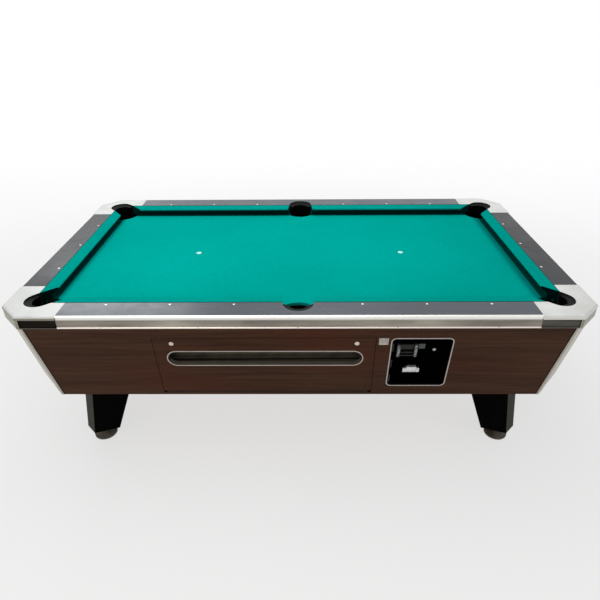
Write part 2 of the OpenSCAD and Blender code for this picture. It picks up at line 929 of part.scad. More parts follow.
leg_h = cab_z0 - leg_z0;
leg_x = end_at(cab_z0) - leg_set_x;
leg_y = front_at(cab_z0) - leg_set_y;

// Outline of a leg in (outwards on the diagonal, across), with its wall taken off
function leg_outline(nose, half, depth, wall) =
    let (k = tan(leg_side_a),
        side = wall / cos(leg_side_a),
        h0 = half + k * wall - side,
        h1 = half + k * (depth + 60) - side)
    wall > 0
        ? [[nose - wall, -h0], [nose - wall, h0], [nose - depth - 60, h1], [nose - depth - 60, -h1]]
        : [[nose, -half], [nose, half], [nose - depth, half + k * depth],
            [nose - depth, -half - k * depth]];

module leg_place() {
    translate([leg_x, leg_y, 0]) rotate([0, 0, 45]) children();
}

leg_plate = 20;
leg_bolt_in = [70, 130];

module leg_bolt_places() {
    all_corners() leg_place() for (u = leg_bolt_in) translate([-u, 0, 0]) children();
}

module leg() {
    splay = leg_splay / leg_h;
    foot = leg_outline(leg_splay, leg_foot_nose, leg_foot_l, 0);
    top = leg_outline(0, leg_nose, leg_top_l, 0);
    z0 = leg_z0;
    z1 = cab_z0;
    a0 = leg_plate / leg_h;
    a1 = 1 - leg_plate / leg_h;
    in_foot = leg_outline(leg_splay, leg_foot_nose, leg_foot_l, leg_wall);
    in_top = leg_outline(0, leg_nose, leg_top_l, leg_wall);
    low = [for (i = [0 : 3]) in_foot[i] + (in_top[i] - in_foot[i]) * a0];
    high = [for (i = [0 : 3]) in_foot[i] + (in_top[i] - in_foot[i]) * a1];
    color([0.09, 0.09, 0.09]) difference() {
        leg_place() difference() {
            loft(foot, top, z0, z1);
            loft(low, high, z0 + leg_plate, z1 - leg_plate);
            translate([leveller_u, 0, z0 - 1]) cylinder(r = screw_r + run_fit, h = leg_plate + 2);
        }
        leg_place() for (u = leg_bolt_in) translate([-u, 0, z1 - leg_plate - 1])
            cylinder(r = bolt_r + 0.2, h = leg_plate + 2);
    }
}

module leg_front_left() { at_corner(-1, -1) leg(); }
module leg_front_right() { at_corner(1, -1) leg(); }
module leg_back_left() { at_corner(-1, 1) leg(); }
module leg_back_right() { at_corner(1, 1) leg(); }

leveller_u = leg_splay - leg_foot_l * 0.62;

// Pad, dome, jam nut and screw
module leveller() {
    top = leg_z0 + leg_plate + 34;
    color([0.25, 0.25, 0.26]) leg_place() translate([leveller_u, 0, 0]) {
        rotate_extrude($fn = 72) {
            square([foot_r, 9]);
            translate([0, 9]) square([foot_r - 2, 3]);
            polygon([[0, 12], [foot_r - 6, 12], [foot_r * 0.55, 19], [screw_r + 7, 23], [0, 23]]);
        }
        translate([0, 0, 20]) cylinder(r = screw_r, h = top - 20);
        translate([0, 0, leg_z0 - 13]) cylinder(r = screw_r + 7, h = 9, $fn = 6);
    }
}

module leveller_front_left() { at_corner(-1, -1) leveller(); }
module leveller_front_right() { at_corner(1, -1) leveller(); }
module leveller_back_left() { at_corner(-1, 1) leveller(); }
module leveller_back_right() { at_corner(1, 1) leveller(); }

// Bolts that hold the rails to the slate and the legs to the floor
module frame_bolts() {
    head = 7;
    color([0.5, 0.5, 0.5]) {
        rail_bolt_places() {
            translate([0, 0, slate_z0 - head]) cylinder(r = 9, h = head, $fn = 6);
            translate([0, 0, slate_z0 - eps]) cylinder(r = bolt_r, h = bed_z + 20 - slate_z0);
        }
        leg_bolt_places() {
            translate([0, 0, floor_z1]) cylinder(r = 9, h = head, $fn = 6);
            translate([0, 0, cab_z0 - leg_plate + 2])
                cylinder(r = bolt_r, h = floor_t + leg_plate - 2 + eps);
        }
    }
}

// Ball door

module ball_door() {
    color(walnut_c) on_front() board_block(-apron_t, 0) difference() {
        translate([-door_off - door_w / 2, door_h0]) square([door_w, door_h1 - door_h0]);
        translate([-door_off, slot_up]) stadium(slot_w - rim_w, slot_h - rim_w);
        for (s = [-1, 1]) translate([s * lock_span / 2 - door_off, lock_h])
            circle(r = lock_r + run_fit);
    }
}

// Trim that lines the slot and laps over the door's face
module slot_trim() {
    color(steel_c) on_front() translate([-door_off, slot_up]) {
        board_block(0, 2) difference() {
            stadium(slot_w, slot_h);
            stadium(slot_w - 2 * rim_w, slot_h - 2 * rim_w);
        }
        board_block(-apron_t, eps) difference() {
            stadium(slot_w - rim_w - 0.4, slot_h - rim_w - 0.4);
            stadium(slot_w - 2 * rim_w, slot_h - 2 * rim_w);
        }
    }
}

hinge_len = door_w - 24;
knuckle_len = hinge_len / knuckles;

// Barrels and tabs of one leaf; first is 0 for the apron's leaf and 1 for the door's
module leaf(first) {
    side = first == 0 ? -1 : 1;
    edge = first == 0 ? sill_h : door_h0;
    x0 = -door_off - hinge_len / 2;
    low = first == 0 ? edge : edge - leaf_t;
    translate([x0, low, -leaf_w - knuckle_r]) cube([hinge_len, leaf_t, leaf_w - knuckle_r]);
    for (i = [first : 2 : knuckles - 1]) {
        translate([x0 + i * knuckle_len + 0.3, 0, 0]) {
            difference() {
                union() {
                    translate([0, hinge_h, hinge_n]) rotate([0, 90, 0])
                        cylinder(r = knuckle_r, h = knuckle_len - 0.6);
                    translate([0, low, -2 * knuckle_r - eps])
                        cube([knuckle_len - 0.6, leaf_t, 2 * knuckle_r + hinge_n]);
                    translate([0, min(low, hinge_h), hinge_n - 1])
                        cube([knuckle_len - 0.6, abs(hinge_h - low), 2]);
                }
                translate([-1, hinge_h, hinge_n]) rotate([0, 90, 0])
                    cylinder(r = pin_r + run_fit, h = knuckle_len + 2);
            }
        }
    }
}

module door_hinge_leaf() {
    color(steel_c) on_front() leaf(1);
}

module apron_hinge_leaf() {
    x0 = -door_off - hinge_len / 2;
    color(steel_c) on_front() {
        leaf(0);
        translate([x0 + 0.3, hinge_h, hinge_n]) rotate([0, 90, 0])
            cylinder(r = pin_r, h = hinge_len - 0.6);
        for (x = [x0 + 0.3, x0 + hinge_len - knuckle_len + 0.3])
            translate([x, hinge_h, hinge_n]) rotate([0, 90, 0])
                cylinder(r = pin_r + 1, h = knuckle_len - 0.6);
    }
}

// Lock barrel with a head in front and a cam behind; turn 0 points the cam to +X
module cam_lock(through, reach, turn) {
    head = 3;
    translate([0, 0, 0.2]) difference() {
        cylinder(r = lock_r + 1.5, h = head);
        translate([-0.8, -3.5, head - 1.5]) cube([1.6, 7, 2]);
    }
    translate([0, 0, -through - cam_t - 1]) cylinder(r = lock_r, h = through + cam_t + 1.5);
    translate([0, 0, -through - cam_t - 0.6]) rotate([0, 0, turn]) linear_extrude(cam_t) {
        translate([0, -6.5]) square([reach - 6.5, 13]);
        translate([reach - 6.5, 0]) circle(r = 6.5);
        circle(r = lock_r + 1);
    }
}

cam_reach = lock_down + door_gap + 10;

module cam_lock_left() {
    color(steel_c) on_front() translate([-door_off - lock_span / 2, lock_h, 0])
        cam_lock(apron_t, cam_reach, 0);
}

module cam_lock_right() {
    color(steel_c) on_front() translate([-door_off + lock_span / 2, lock_h, 0])
        cam_lock(apron_t, cam_reach, 180);
}

// Ball return

// Dished section of a runway in (across, up from the ball line)
module dish_section() {
    t = run_t;
    polygon([[-dish_w, dish_d], [-dish_w, 0.5 * dish_d - t], [-dish_flat, -t], [dish_flat, -t],
        [dish_w, 0.5 * dish_d - t], [dish_w, dish_d], [dish_w - t, dish_d],
        [dish_w - t, 0.5 * dish_d], [dish_flat, 0], [-dish_flat, 0], [t - dish_w, 0.5 * dish_d],
        [t - dish_w, dish_d]]);
}

// A straight run from a to b, which are points on its ball line
module run(a, b) {
    d = b - a;
    flat = norm([d[0], d[1]]);
    translate(a) rotate([0, 0, atan2(d[1], d[0])]) rotate([0, -atan2(d[2], flat), 0])
        rotate([90, 0, 90]) linear_extrude(norm(d)) children();
}

hanger_t = 6;

// Runway under the three pockets of a long rail, hung from the cross beams
module long_runway(s) {
    run([dish_x1, s * dish_y, dish_floor(dish_x1)], [dish_x0, s * dish_y, dish_floor(dish_x0)])
        dish_section();
    for (x = beam_xs, e = [-1, 1])
        translate([x - beam_w / 2, s * dish_y + e * (dish_w - run_t / 2) - hanger_t / 2,
            dish_floor(x) + dish_d - 8])
            cube([beam_w, hanger_t, beam_z0 - seat_gap - dish_floor(x) - dish_d + 8]);
}

// What lies outside the corner posts' inner faces, or nearer to them than a gap
module beyond_posts(gap) {
    all_corners() on_flat() above(-post_t - gap);
}

// Runway across the left end, lowest where the return runway starts
module cross_runway() {
    over = 60;
    low = [-cross_x, -return_y, cross_floor(-return_y)];
    for (y = [dish_y + over, -dish_y - over])
        run([-cross_x, y, cross_floor(y)], low) dish_section();
}

module ball_runways() {
    t = run_t;
    inner = dish_w - t;
    color([0.30, 0.28, 0.22]) {
        difference() {
            for (s = [-1, 1]) long_runway(s);
            beyond_posts(2);
        }
        difference() {
            cross_runway();
            beyond_posts(2);
            // mouths of the long runways, of the return runway and of the cue ball's chute
            for (s = [-1, 1]) translate([-cross_x + inner - 2, s * dish_y - inner, dish_floor(dish_x0)])
                cube([t + 12, 2 * inner, far]);
            translate([return_x0, -return_y - return_w / 2, return_z])
                cube([far, return_w, far]);
            translate([return_x0, -cup_y - cue_w / 2, cross_floor(-cup_y) - 1])
                cube([far, cue_w, far]);
        }
        // deflectors across the four corners
        intersection() {
            all_corners() on_flat() board_block(-post_t - 2 - t, -post_t - 2)
                square([4 * dish_w, far], center = true);
            for (s = [-1, 1]) mirror([0, s < 0 ? 1 : 0, 0]) {
                translate([-cross_x - dish_w, dish_y - dish_w, cross_floor(s * dish_y) + 4])
                    cube([2 * dish_w - 30, 2 * dish_w - 1, dish_d + 16]);
                translate([dish_x1 - dish_w, dish_y - dish_w, dish_floor(dish_x1) + 4])
                    cube([dish_w - 1, 2 * dish_w - 1, dish_d - 4]);
            }
        }
        // return runway, its floor reaching under the cross runway
        intersection() {
            run([return_x0 - 4, -return_y, return_floor(return_x0 - 4)],
                [return_x1, -return_y, return_floor(return_x1)]) return_section();
            union() {
                translate([-cross_x + dish_w - t, -far, 0]) cube([far, 2 * far, far]);
                translate([-far, -far, 0]) cube([2 * far, 2 * far, return_z]);
            }
        }
        for (s = [-1, 1]) gate_bracket(s);
        for (y = [-0.55, 0, 0.7] * dish_y) runway_post(-cross_x, y, cross_floor(y) - t, 60);
        for (k = [0.85, 0.45, 0.08])
            runway_post(return_x0 * k, -return_y, return_floor(return_x0 * k) - t, return_w);
        // magnet block below the runway, beside the cue ball's mouth
        translate([-cross_x + dish_flat + 4, -cup_y + cue_w / 2 + 6, cross_floor(-cup_y) - t - 14])
            cube([30, 30, 18]);
    }
}

module return_section() {
    t = run_t;
    w = return_w / 2;
    polygon([[-w - t, return_h], [-w - t, -t], [w + t, -t], [w + t, return_h],
        [w, return_h], [w, 0], [-w, 0], [-w, return_h]]);
}

// Upright board from the cabinet floor to the underside of a runway
module runway_post(x, y, top, wide) {
    translate([x - 9, y - wide / 2, floor_z1]) cube([18, wide, top - floor_z1 + 1.2]);
}

gate_z = return_floor(gate_x) + gate_arm;
gate_shaft = 4;

// Cheeks at the end of the return runway that carry the gate's shaft
module gate_bracket(s) {
    y = -return_y + s * (return_w / 2 + run_t / 2);
    z0 = return_floor(gate_x) - run_t;
    difference() {
        translate([gate_x - 26, y - run_t / 2, z0])
            cube([return_x1 - gate_x + 26, run_t, gate_z + 12 - z0]);
        translate([gate_x, y - run_t, gate_z]) rotate([-90, 0, 0])
            cylinder(r = gate_shaft + run_fit, h = 2 * run_t);
    }
}

// Gate plate, its shaft and the arm that the coin mechanism pulls
module release_gate() {
    y0 = -return_y - return_w / 2 - run_t - 4;
    y1 = -return_y + return_w / 2 + run_t + 14;
    color(steel_c) {
        translate([gate_x, y0, gate_z]) rotate([-90, 0, 0]) cylinder(r = gate_shaft, h = y1 - y0);
        translate([gate_x - 1.5, -return_y - return_w / 2 + 1, return_floor(gate_x) + 6])
            cube([3, return_w - 2, gate_arm - 6]);
        translate([gate_x, -return_y + return_w / 2 - 1, gate_z]) rotate([90, 0, 0])
            cylinder(r = gate_shaft + 2, h = return_w - 2);
        translate([gate_x, y1, gate_z]) rotate([90, 0, 0]) linear_extrude(5) {
            circle(r = 9);
            translate([0, -5]) square([48, 10]);
            translate([48, 0]) circle(r = 5);
        }
    }
}

// Tray behind the slot, with the lead-in below the gate, and its uprights
module ball_tray() {
    t = tray_t;
    z1 = tray_z;
    drop = (tray_x1 - tray_x0) * dish_slope / 2;
    high = slot_h - 14;
    lead_x0 = tray_x1 - lead_w - 2 * t;
    lead_y = -return_y + return_w / 2 + t;
    mouth_y = -return_y - return_w / 2 - t - 2;
    lead_z = return_floor(return_x1) - t - 3;
    color([0.33, 0.30, 0.20]) {
        // floor, sloping to the left
        translate([0, -tray_back, 0]) rotate([90, 0, 0]) linear_extrude(tray_w)
            polygon([[tray_x0, z1 - drop - t], [tray_x1, z1 - t], [tray_x1, z1],
                [tray_x0, z1 - drop]]);
        // back wall, open where the lead-in comes through
        translate([tray_x0, -tray_back - eps, z1 - drop - t])
            cube([lead_x0 + t - tray_x0, t, high + drop + t]);
        for (x = [tray_x0, tray_x1 - t])
            translate([x, -tray_front, z1 - drop - t]) cube([t, tray_w + t, high + drop + t]);
        // lead-in: floor, a short wall, a long wall and an end wall
        rotate([90, 0, 90]) translate([0, 0, lead_x0]) linear_extrude(tray_x1 - lead_x0)
            polygon([[-tray_back - eps, z1 - t], [lead_y, lead_z - t], [lead_y, lead_z],
                [-tray_back - eps, z1]]);
        translate([lead_x0, -tray_back - eps, z1 - t]) cube([t, mouth_y + tray_back, high + t]);
        translate([tray_x1 - t, -tray_back - eps, z1 - t])
            cube([t, lead_y + tray_back, high + t]);
        translate([lead_x0, lead_y - t, z1 - t]) cube([lead_w + 2 * t, t, high + t]);
        for (x = [tray_x0 + 2 * upright_w, -door_off, lead_x0 + upright_w])
            translate([x, -tray_back - upright_d, floor_z1])
                cube([upright_w, upright_d + t,
                    z1 - (tray_x1 - x) * dish_slope / 2 - t - floor_z1 + 1]);
    }
}

// Cup in the left end apron where the cue ball comes back, and its chute
module cue_ball_cup() {
    t = 4;
    inner_w = cup_w - 2 * t;
    x_in = board + cup_clear - end_at(cab_z0 + cup_up - cup_h / 2);
    x0 = x_in + t;
    x1 = -cross_x + dish_w + cue_w + 4;
    z0 = cab_z0 + cup_up - cup_h / 2 + t;
    z1 = cross_floor(-cup_y) - cue_w - 4;
    slope = (z1 - z0) / (x1 - x0);
    color(black_c) {
        on_left() translate([cup_y, cup_up, 0]) {
            board_block(0, 2) difference() {
                rounded(cup_w + 14, cup_h + 14, 16);
                rounded(inner_w, cup_h - 2 * t, 8);
            }
            board_block(-apron_t - 14, eps) difference() {
                rounded(cup_w, cup_h, 12);
                rounded(inner_w, cup_h - 2 * t, 8);
            }
        }
        // sloping floor, sides and back of the chute
        translate([0, -cup_y + cup_w / 2, 0]) rotate([90, 0, 0]) linear_extrude(cup_w)
            polygon([[x_in, z0 - t], [x0, z0 - t], [x1, z1 - t], [x1, z1], [x0, z0], [x_in, z0]]);
        for (s = [-1, 1]) translate([0, -cup_y + s * (cup_w / 2 - t / 2) + t / 2, 0])
            rotate([90, 0, 0]) linear_extrude(t)
                polygon([[x_in, z0 - t], [x0, z0 - t], [x1, z1 - t], [x1, z1 + cue_w - 18],
                    [x_in, z0 + cup_h - 3 * t]]);
        translate([x1 - t, -cup_y - cup_w / 2, z1 - t]) cube([t, cup_w, cue_w - 14]);
        runway_post(x1 - 16, -cup_y, z1 - t - slope * 20, 60);
    }
}

// Coin unit, all in the plane of the front apron

module at_coin() {
    on_front() translate([coin_off, coin_up, 0]) children();
}

coin_knuckles = 5;
coin_hinge_len = inner_h - 2 * coin_r;
coin_knuckle = coin_hinge_len / coin_knuckles;

// Barrels of the coin door's hinge, up the left edge; first is 0 for the frame
module coin_barrels(first, edge_x, edge_n) {
    for (i = [first : 2 : coin_knuckles - 1]) {
        y = i * coin_knuckle - coin_hinge_len / 2 + 0.3;
        difference() {
            union() {
                translate([coin_hinge_x - coin_off, y, coin_hinge_n]) rotate([-90, 0, 0])
                    cylinder(r = knuckle_r, h = coin_knuckle - 0.6);
                x0 = min(edge_x, coin_hinge_x - coin_off);
                translate([x0, y, edge_n])
                    cube([abs(edge_x - coin_hinge_x + coin_off), coin_knuckle - 0.6, 2.5]);
            }
            translate([coin_hinge_x - coin_off, y - 1, coin_hinge_n]) rotate([-90, 0, 0])
                cylinder(r = pin_r + run_fit, h = coin_knuckle + 2);
        }
    }
}

module coin_door_frame() {
    color(steel_c) at_coin() {
        board_block(0, 2) difference() {
            rounded(coin_w, coin_h, coin_r);
            rounded(inner_w, inner_h, coin_r - rim_w);
        }
        board_block(-apron_t, eps) difference() {
            rounded(neck_w, neck_h, neck_r);
            rounded(inner_w, inner_h, coin_r - rim_w);
        }
        coin_barrels(0, -inner_w / 2 - 0.5, -0.5);
        translate([coin_hinge_x - coin_off, 0.3 - coin_hinge_len / 2, coin_hinge_n])
            rotate([-90, 0, 0]) cylinder(r = pin_r, h = coin_hinge_len - 0.6);
        for (s = [0, coin_knuckles - 1])
            translate([coin_hinge_x - coin_off, s * coin_knuckle + 0.3 - coin_hinge_len / 2,
                coin_hinge_n]) rotate([-90, 0, 0]) cylinder(r = pin_r + 1, h = coin_knuckle - 0.6);
    }
}

bezel_x = -57;
bezel_y = 70.5;
bezel_w = 81;
bezel_h = 62;
button_x = 0.5;
button_y = 91;
button_w = 25;
return_x = -29;
return_up = -40;
cup_bar_w = 67;
cup_bar_h = 21;
flap_w = 46;
flap_h = 14;
flap_pin_y = flap_h / 2 - 3;
slot_note_h = 14;
slot_note_y = -6;
plate_n0 = -plate_set - plate_t;

module coin_door() {
    left = coin_hinge_x - coin_off + knuckle_r + 1;
    color(black_c) at_coin() {
        difference() {
            board_block(plate_n0, -plate_set) difference() {
                intersection() {
                    rounded(plate_w, plate_h, coin_r - rim_w - door_gap);
                    translate([left - 3, -far]) square([far, 2 * far]);
                }
                translate([bezel_x, bezel_y]) square([bezel_w - 14, bezel_h - 14], center = true);
                translate([button_x, button_y]) square(button_w + 0.6, center = true);
                translate([return_x, return_up]) square([flap_w + 3.4, flap_h + 3.4], center = true);
            }
            translate([coin_lock_x - coin_off, coin_lock_h - coin_up, plate_n0 - 1])
                cylinder(r = lock_r + run_fit, h = plate_t + 2);
        }
        // joggle from the plate up to the hinge barrels
        for (i = [1 : 2 : coin_knuckles - 1])
            translate([left - 3, i * coin_knuckle - coin_hinge_len / 2 + 0.3, plate_n0])
                cube([3, coin_knuckle - 0.6, plate_t + plate_set + coin_hinge_n]);
        coin_barrels(1, left, -1 + coin_hinge_n);
    }
}

// Bezel, mechanism housing and the coin return's frame
module coin_acceptor() {
    color(steel_c) at_coin() {
        // bezel with two raised side rails round the note mouth
        translate([bezel_x, bezel_y, 0]) {
            board_block(-plate_set, 2) difference() {
                square([bezel_w, bezel_h], center = true);
                square([bezel_w - 22, bezel_h - 12], center = true);
            }
            for (s = [-1, 1]) translate([s * (bezel_w / 2 - 6.5), 0, 2 - eps])
                linear_extrude(5) rounded(11, bezel_h, 3);
            board_block(plate_n0 - 22, -plate_set + eps) difference() {
                square([bezel_w - 15, bezel_h - 15], center = true);
                translate([0, slot_note_y]) square([bezel_w - 23, slot_note_h], center = true);
            }
            board_block(plate_n0 - 62, plate_n0 - 1)
                translate([7.5 - bezel_w / 2, -bezel_h - 4])
                    square([bezel_w - 15, bezel_h + 3 + slot_note_y - slot_note_h / 2]);
        }
        // coin return: hood, frame and cup
        translate([return_x, return_up, 0]) {
            difference() {
                union() {
                    board_block(-plate_set, 4) square([cup_bar_w, cup_bar_h], center = true);
                    translate([0, cup_bar_h / 2 + 5])
                        board_block(-plate_set, 7) rounded(42, 13, 4);
                }
                board_block(-plate_set - 1, 8) square([flap_w, flap_h], center = true);
                translate([-flap_w / 2 - 3, flap_pin_y, 1]) rotate([0, 90, 0])
                    cylinder(r = pin_r + run_fit, h = flap_w + 6);
            }
            difference() {
                board_block(-26, -plate_set + eps) square([flap_w + 3, flap_h + 3], center = true);
                board_block(-24, 1) square([flap_w, flap_h], center = true);
            }
        }
    }
}

module coin_lock() {
    color(steel_c) at_coin()
        translate([coin_lock_x - coin_off, coin_lock_h - coin_up, -plate_set])
            cam_lock(apron_t - plate_set, coin_w / 2 - coin_lock_x + coin_off + 9, -90);
}

button_n = -1;

module reject_button() {
    color(steel_c) at_coin() translate([button_x, button_y, 0]) {
        board_block(plate_n0 - 8, button_n) rounded(button_w, button_w, 3);
        board_block(plate_n0 - 3, plate_n0 - seat_gap) square(button_w + 5, center = true);
    }
}

// Flap on two stub pins at its top edge
module coin_return_flap() {
    color(steel_c) at_coin() translate([return_x, return_up, 0]) {
        board_block(-0.2, 2.2) translate([0, -0.6]) square([flap_w - 1, flap_h - 2.4], center = true);
        translate([-flap_w / 2 - 2.5, flap_pin_y, 1]) rotate([0, 90, 0])
            cylinder(r = pin_r, h = flap_w + 5);
    }
}

// Steel box on the cabinet floor behind the coin door
module cash_box() {
    w = 200;
    d = 150;
    h = 86;
    t = 2;
    handle = 18;
    y1 = front_at(floor_z1) - board - handle - 2;
    color([0.45, 0.46, 0.47]) translate([coin_off - w / 2, -y1, floor_z1 + seat_gap]) {
        difference() {
            cube([w, d, h]);
            translate([t, t, t]) cube([w - 2 * t, d - 2 * t, h - 2 * t]);
            translate([w / 2 - 22, d / 2 - 20, h - t - 1]) cube([44, 40, t + 2]);
        }
        for (x = [w / 2 - 35, w / 2 + 27])
            translate([x, -handle + 4, h / 2 - 4]) cube([8, handle - 4 + eps, 8]);
        translate([w / 2 - 35, -handle, h / 2 - 4]) cube([70, 5, 8]);
    }
}

slate_bed();
bed_cloth();
rail_front();
rail_back();
rail_left();
rail_right();
rail_sights();
cushion_front_left();
cushion_front_right();
cushion_back_left();
cushion_back_right();
cushion_left_end();
cushion_right_end();
trim_front();
trim_back();
trim_left();
trim_right();
casting_front_left();
casting_front_right();
casting_back_left();
casting_back_right();
liner_front_left();
liner_front_right();
liner_back_left();
liner_back_right();
liner_front_side();
liner_back_side();
apron_front();
apron_back();
apron_left();
apron_right();
inner_frame();
corner_covers();
cabinet_floor();
leg_front_left();
leg_front_right();
leg_back_left();
leg_back_right();
leveller_front_left();
leveller_front_right();
leveller_back_left();
leveller_back_right();
frame_bolts();
ball_door();
slot_trim();
door_hinge_leaf();
apron_hinge_leaf();
cam_lock_left();
cam_lock_right();
ball_tray();
ball_runways();
release_gate();
cue_ball_cup();
coin_door_frame();
coin_door();
coin_acceptor();
coin_lock();
reject_button();
coin_return_flap();
cash_box();
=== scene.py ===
"""Looks of the coin-operated pool table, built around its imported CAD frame.

The CAD nodes stay as they are and get materials. The cushions and the bed cloth are
replaced by soft pieces. Screw heads, a blank plate and the bed's spots are added.
All lengths are in metres, in the frame of the CAD.
"""
import math

import bmesh
import bpy
from mathutils import Matrix, Vector


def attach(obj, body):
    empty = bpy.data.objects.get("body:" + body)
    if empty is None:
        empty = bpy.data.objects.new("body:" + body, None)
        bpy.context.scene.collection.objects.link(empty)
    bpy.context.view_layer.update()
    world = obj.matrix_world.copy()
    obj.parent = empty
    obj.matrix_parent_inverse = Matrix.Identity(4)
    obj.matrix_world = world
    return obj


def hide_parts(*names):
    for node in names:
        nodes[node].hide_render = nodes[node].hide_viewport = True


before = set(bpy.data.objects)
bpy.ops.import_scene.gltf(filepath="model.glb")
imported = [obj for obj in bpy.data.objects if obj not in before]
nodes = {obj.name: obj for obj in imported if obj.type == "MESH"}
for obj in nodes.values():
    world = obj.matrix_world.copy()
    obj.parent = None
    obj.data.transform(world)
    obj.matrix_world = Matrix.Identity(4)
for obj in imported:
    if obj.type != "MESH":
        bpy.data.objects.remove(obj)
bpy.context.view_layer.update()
scene = bpy.context.scene

# Sizes and places on the part, as in part.scad
BED, RAIL = 0.768, 0.813  # tops of the bed and of the rails
NOSE_X, NOSE_Y = 1.016, 0.508  # cushion noses
BACK_X, BACK_Y = 1.069, 0.561  # line between the cushions and the rails' laminate
RAIL_W, BEAD_OUT = 0.157, 0.0035  # width of a rail, and how far its bead stands out
NOSE_Z = BED + 0.0345  # from here down the cushions are below their noses
JAW_X, HOLE_X = 0.125, 0.080  # half widths of a side pocket at its jaws and in the rail
CHAMFER = 1.758  # |x| + |y| on the castings' chamfers
LIP_Z, SKIRT_Z = RAIL - 0.0155, RAIL - 0.0510  # lower edges of the castings' lip and skirt
MOUTH_X, MOUTH_Y = 1.1425, 0.6345  # outer limits of the pocket walls in the castings
BEAD_TOP = RAIL - 0.048  # upper edge of the bead of the trims
CAB_Z0 = 0.3775  # underside of the cabinet
FRONT, END = 0.60562, 1.10562  # half width and half length of the cabinet there
TAPER = math.radians(8)  # lean of the aprons
RAW_FROM = 0.0145  # depth from which the edges of the aprons are raw board
COVER_IN = 0.0895  # from an apron's end in to its dark edge beside the corner cover
COVER_SLOPE = 0.1392  # how far that edge runs outwards per metre up the apron
COIN_U, COIN_V = 0.4915, 0.19204  # middle of the coin opening on the front apron
COIN_RIM = (0.1200, 0.13275, 0.0175)  # half width, half height and radius of its pale rim
COIN_LOCK = (0.543, -0.638544, 0.640515)
SLOT_U, SLOT_V = -0.136, 0.218538  # middle of the ball door's slot
SLOT_W, SLOT_H = 0.798, 0.084
SLOT_RIM = 0.0044  # width of the pale edge of the slot's trim
TROUGH_Y = -0.5805  # where the balls lie in the tray

# Places of the added pieces
BEAD_Z = 0.7612  # screws in the beads of the trims
BEAD_X = (-0.763, -0.384, 0.0, 0.384, 0.769)
BEAD_Y = (-0.300, 0.0, 0.300)
PLATE_U, PLATE_V = 0.338, 0.310  # middle of the blank plate on the front apron
SPOT_X = 0.500

AXES = {"x": (1, 0, 0), "y": (0, 1, 0), "z": (0, 0, 1)}
SIDES = ("front", "back", "left", "right")
CORNERS = ("front_left", "front_right", "back_left", "back_right")


# Node trees

class Tree:
    """Adds shader nodes; a value is a number, a colour or another node's output."""

    def __init__(self, tree):
        self.tree = tree
        tree.nodes.clear()

    def node(self, kind, **props):
        n = self.tree.nodes.new("ShaderNode" + kind)
        for k, v in props.items():
            setattr(n, k, v)
        return n

    def put(self, socket, value):
        if hasattr(value, "is_output"):
            self.tree.links.new(value, socket)
        else:
            socket.default_value = value
        return self

    def math(self, op, a, b=0.0):
        n = self.node("Math", operation=op)
        self.put(n.inputs[0], a).put(n.inputs[1], b)
        return n.outputs[0]

    def add(self, a, b):
        return self.math("ADD", a, b)

    def sub(self, a, b):
        return self.math("SUBTRACT", a, b)

    def mul(self, a, b):
        return self.math("MULTIPLY", a, b)

    def most(self, a, b):
        return self.math("MAXIMUM", a, b)

    def size(self, a):
        return self.math("ABSOLUTE", a)

    def vec(self, op, a, b=(0, 0, 0)):
        n = self.node("VectorMath", operation=op)
        self.put(n.inputs[0], a).put(n.inputs[1], b)
        return n.outputs["Value" if op in ("DOT_PRODUCT", "LENGTH") else "Vector"]

    def xyz(self, x=0.0, y=0.0, z=0.0):
        n = self.node("CombineXYZ")
        self.put(n.inputs[0], x).put(n.inputs[1], y).put(n.inputs[2], z)
        return n.outputs[0]

    def step(self, v, a, b, lo=0.0, hi=1.0, kind="SMOOTHSTEP"):
        """Goes from lo to hi while v goes from a to b."""
        n = self.node("MapRange", interpolation_type=kind)
        for i, x in enumerate((v, a, b, lo, hi)):
            self.put(n.inputs[i], x)
        return n.outputs[0]

    def ramp(self, fac, stops):
        n = self.node("ValToRGB")
        e = n.color_ramp.elements
        while len(e) < len(stops):
            e.new(0.5)
        for x, (pos, col) in zip(e, stops):
            x.position = pos
            x.color = (*col, 1)
        self.put(n.inputs[0], fac)
        return n.outputs[0]

    def mix(self, fac, a, b):
        n = self.node("Mix", data_type="RGBA")
        self.put(n.inputs[0], fac)
        for i, v in ((6, a), (7, b)):
            self.put(n.inputs[i], v if hasattr(v, "is_output") else (*v, 1))
        return n.outputs[2]

    def end(self, kind, fac, a, b):
        """Output node of a mix of two shaders."""
        n = self.node("MixShader")
        self.put(n.inputs[0], fac).put(n.inputs[1], a.outputs[0]).put(n.inputs[2], b.outputs[0])
        self.put(self.node(kind).inputs[0], n.outputs[0])


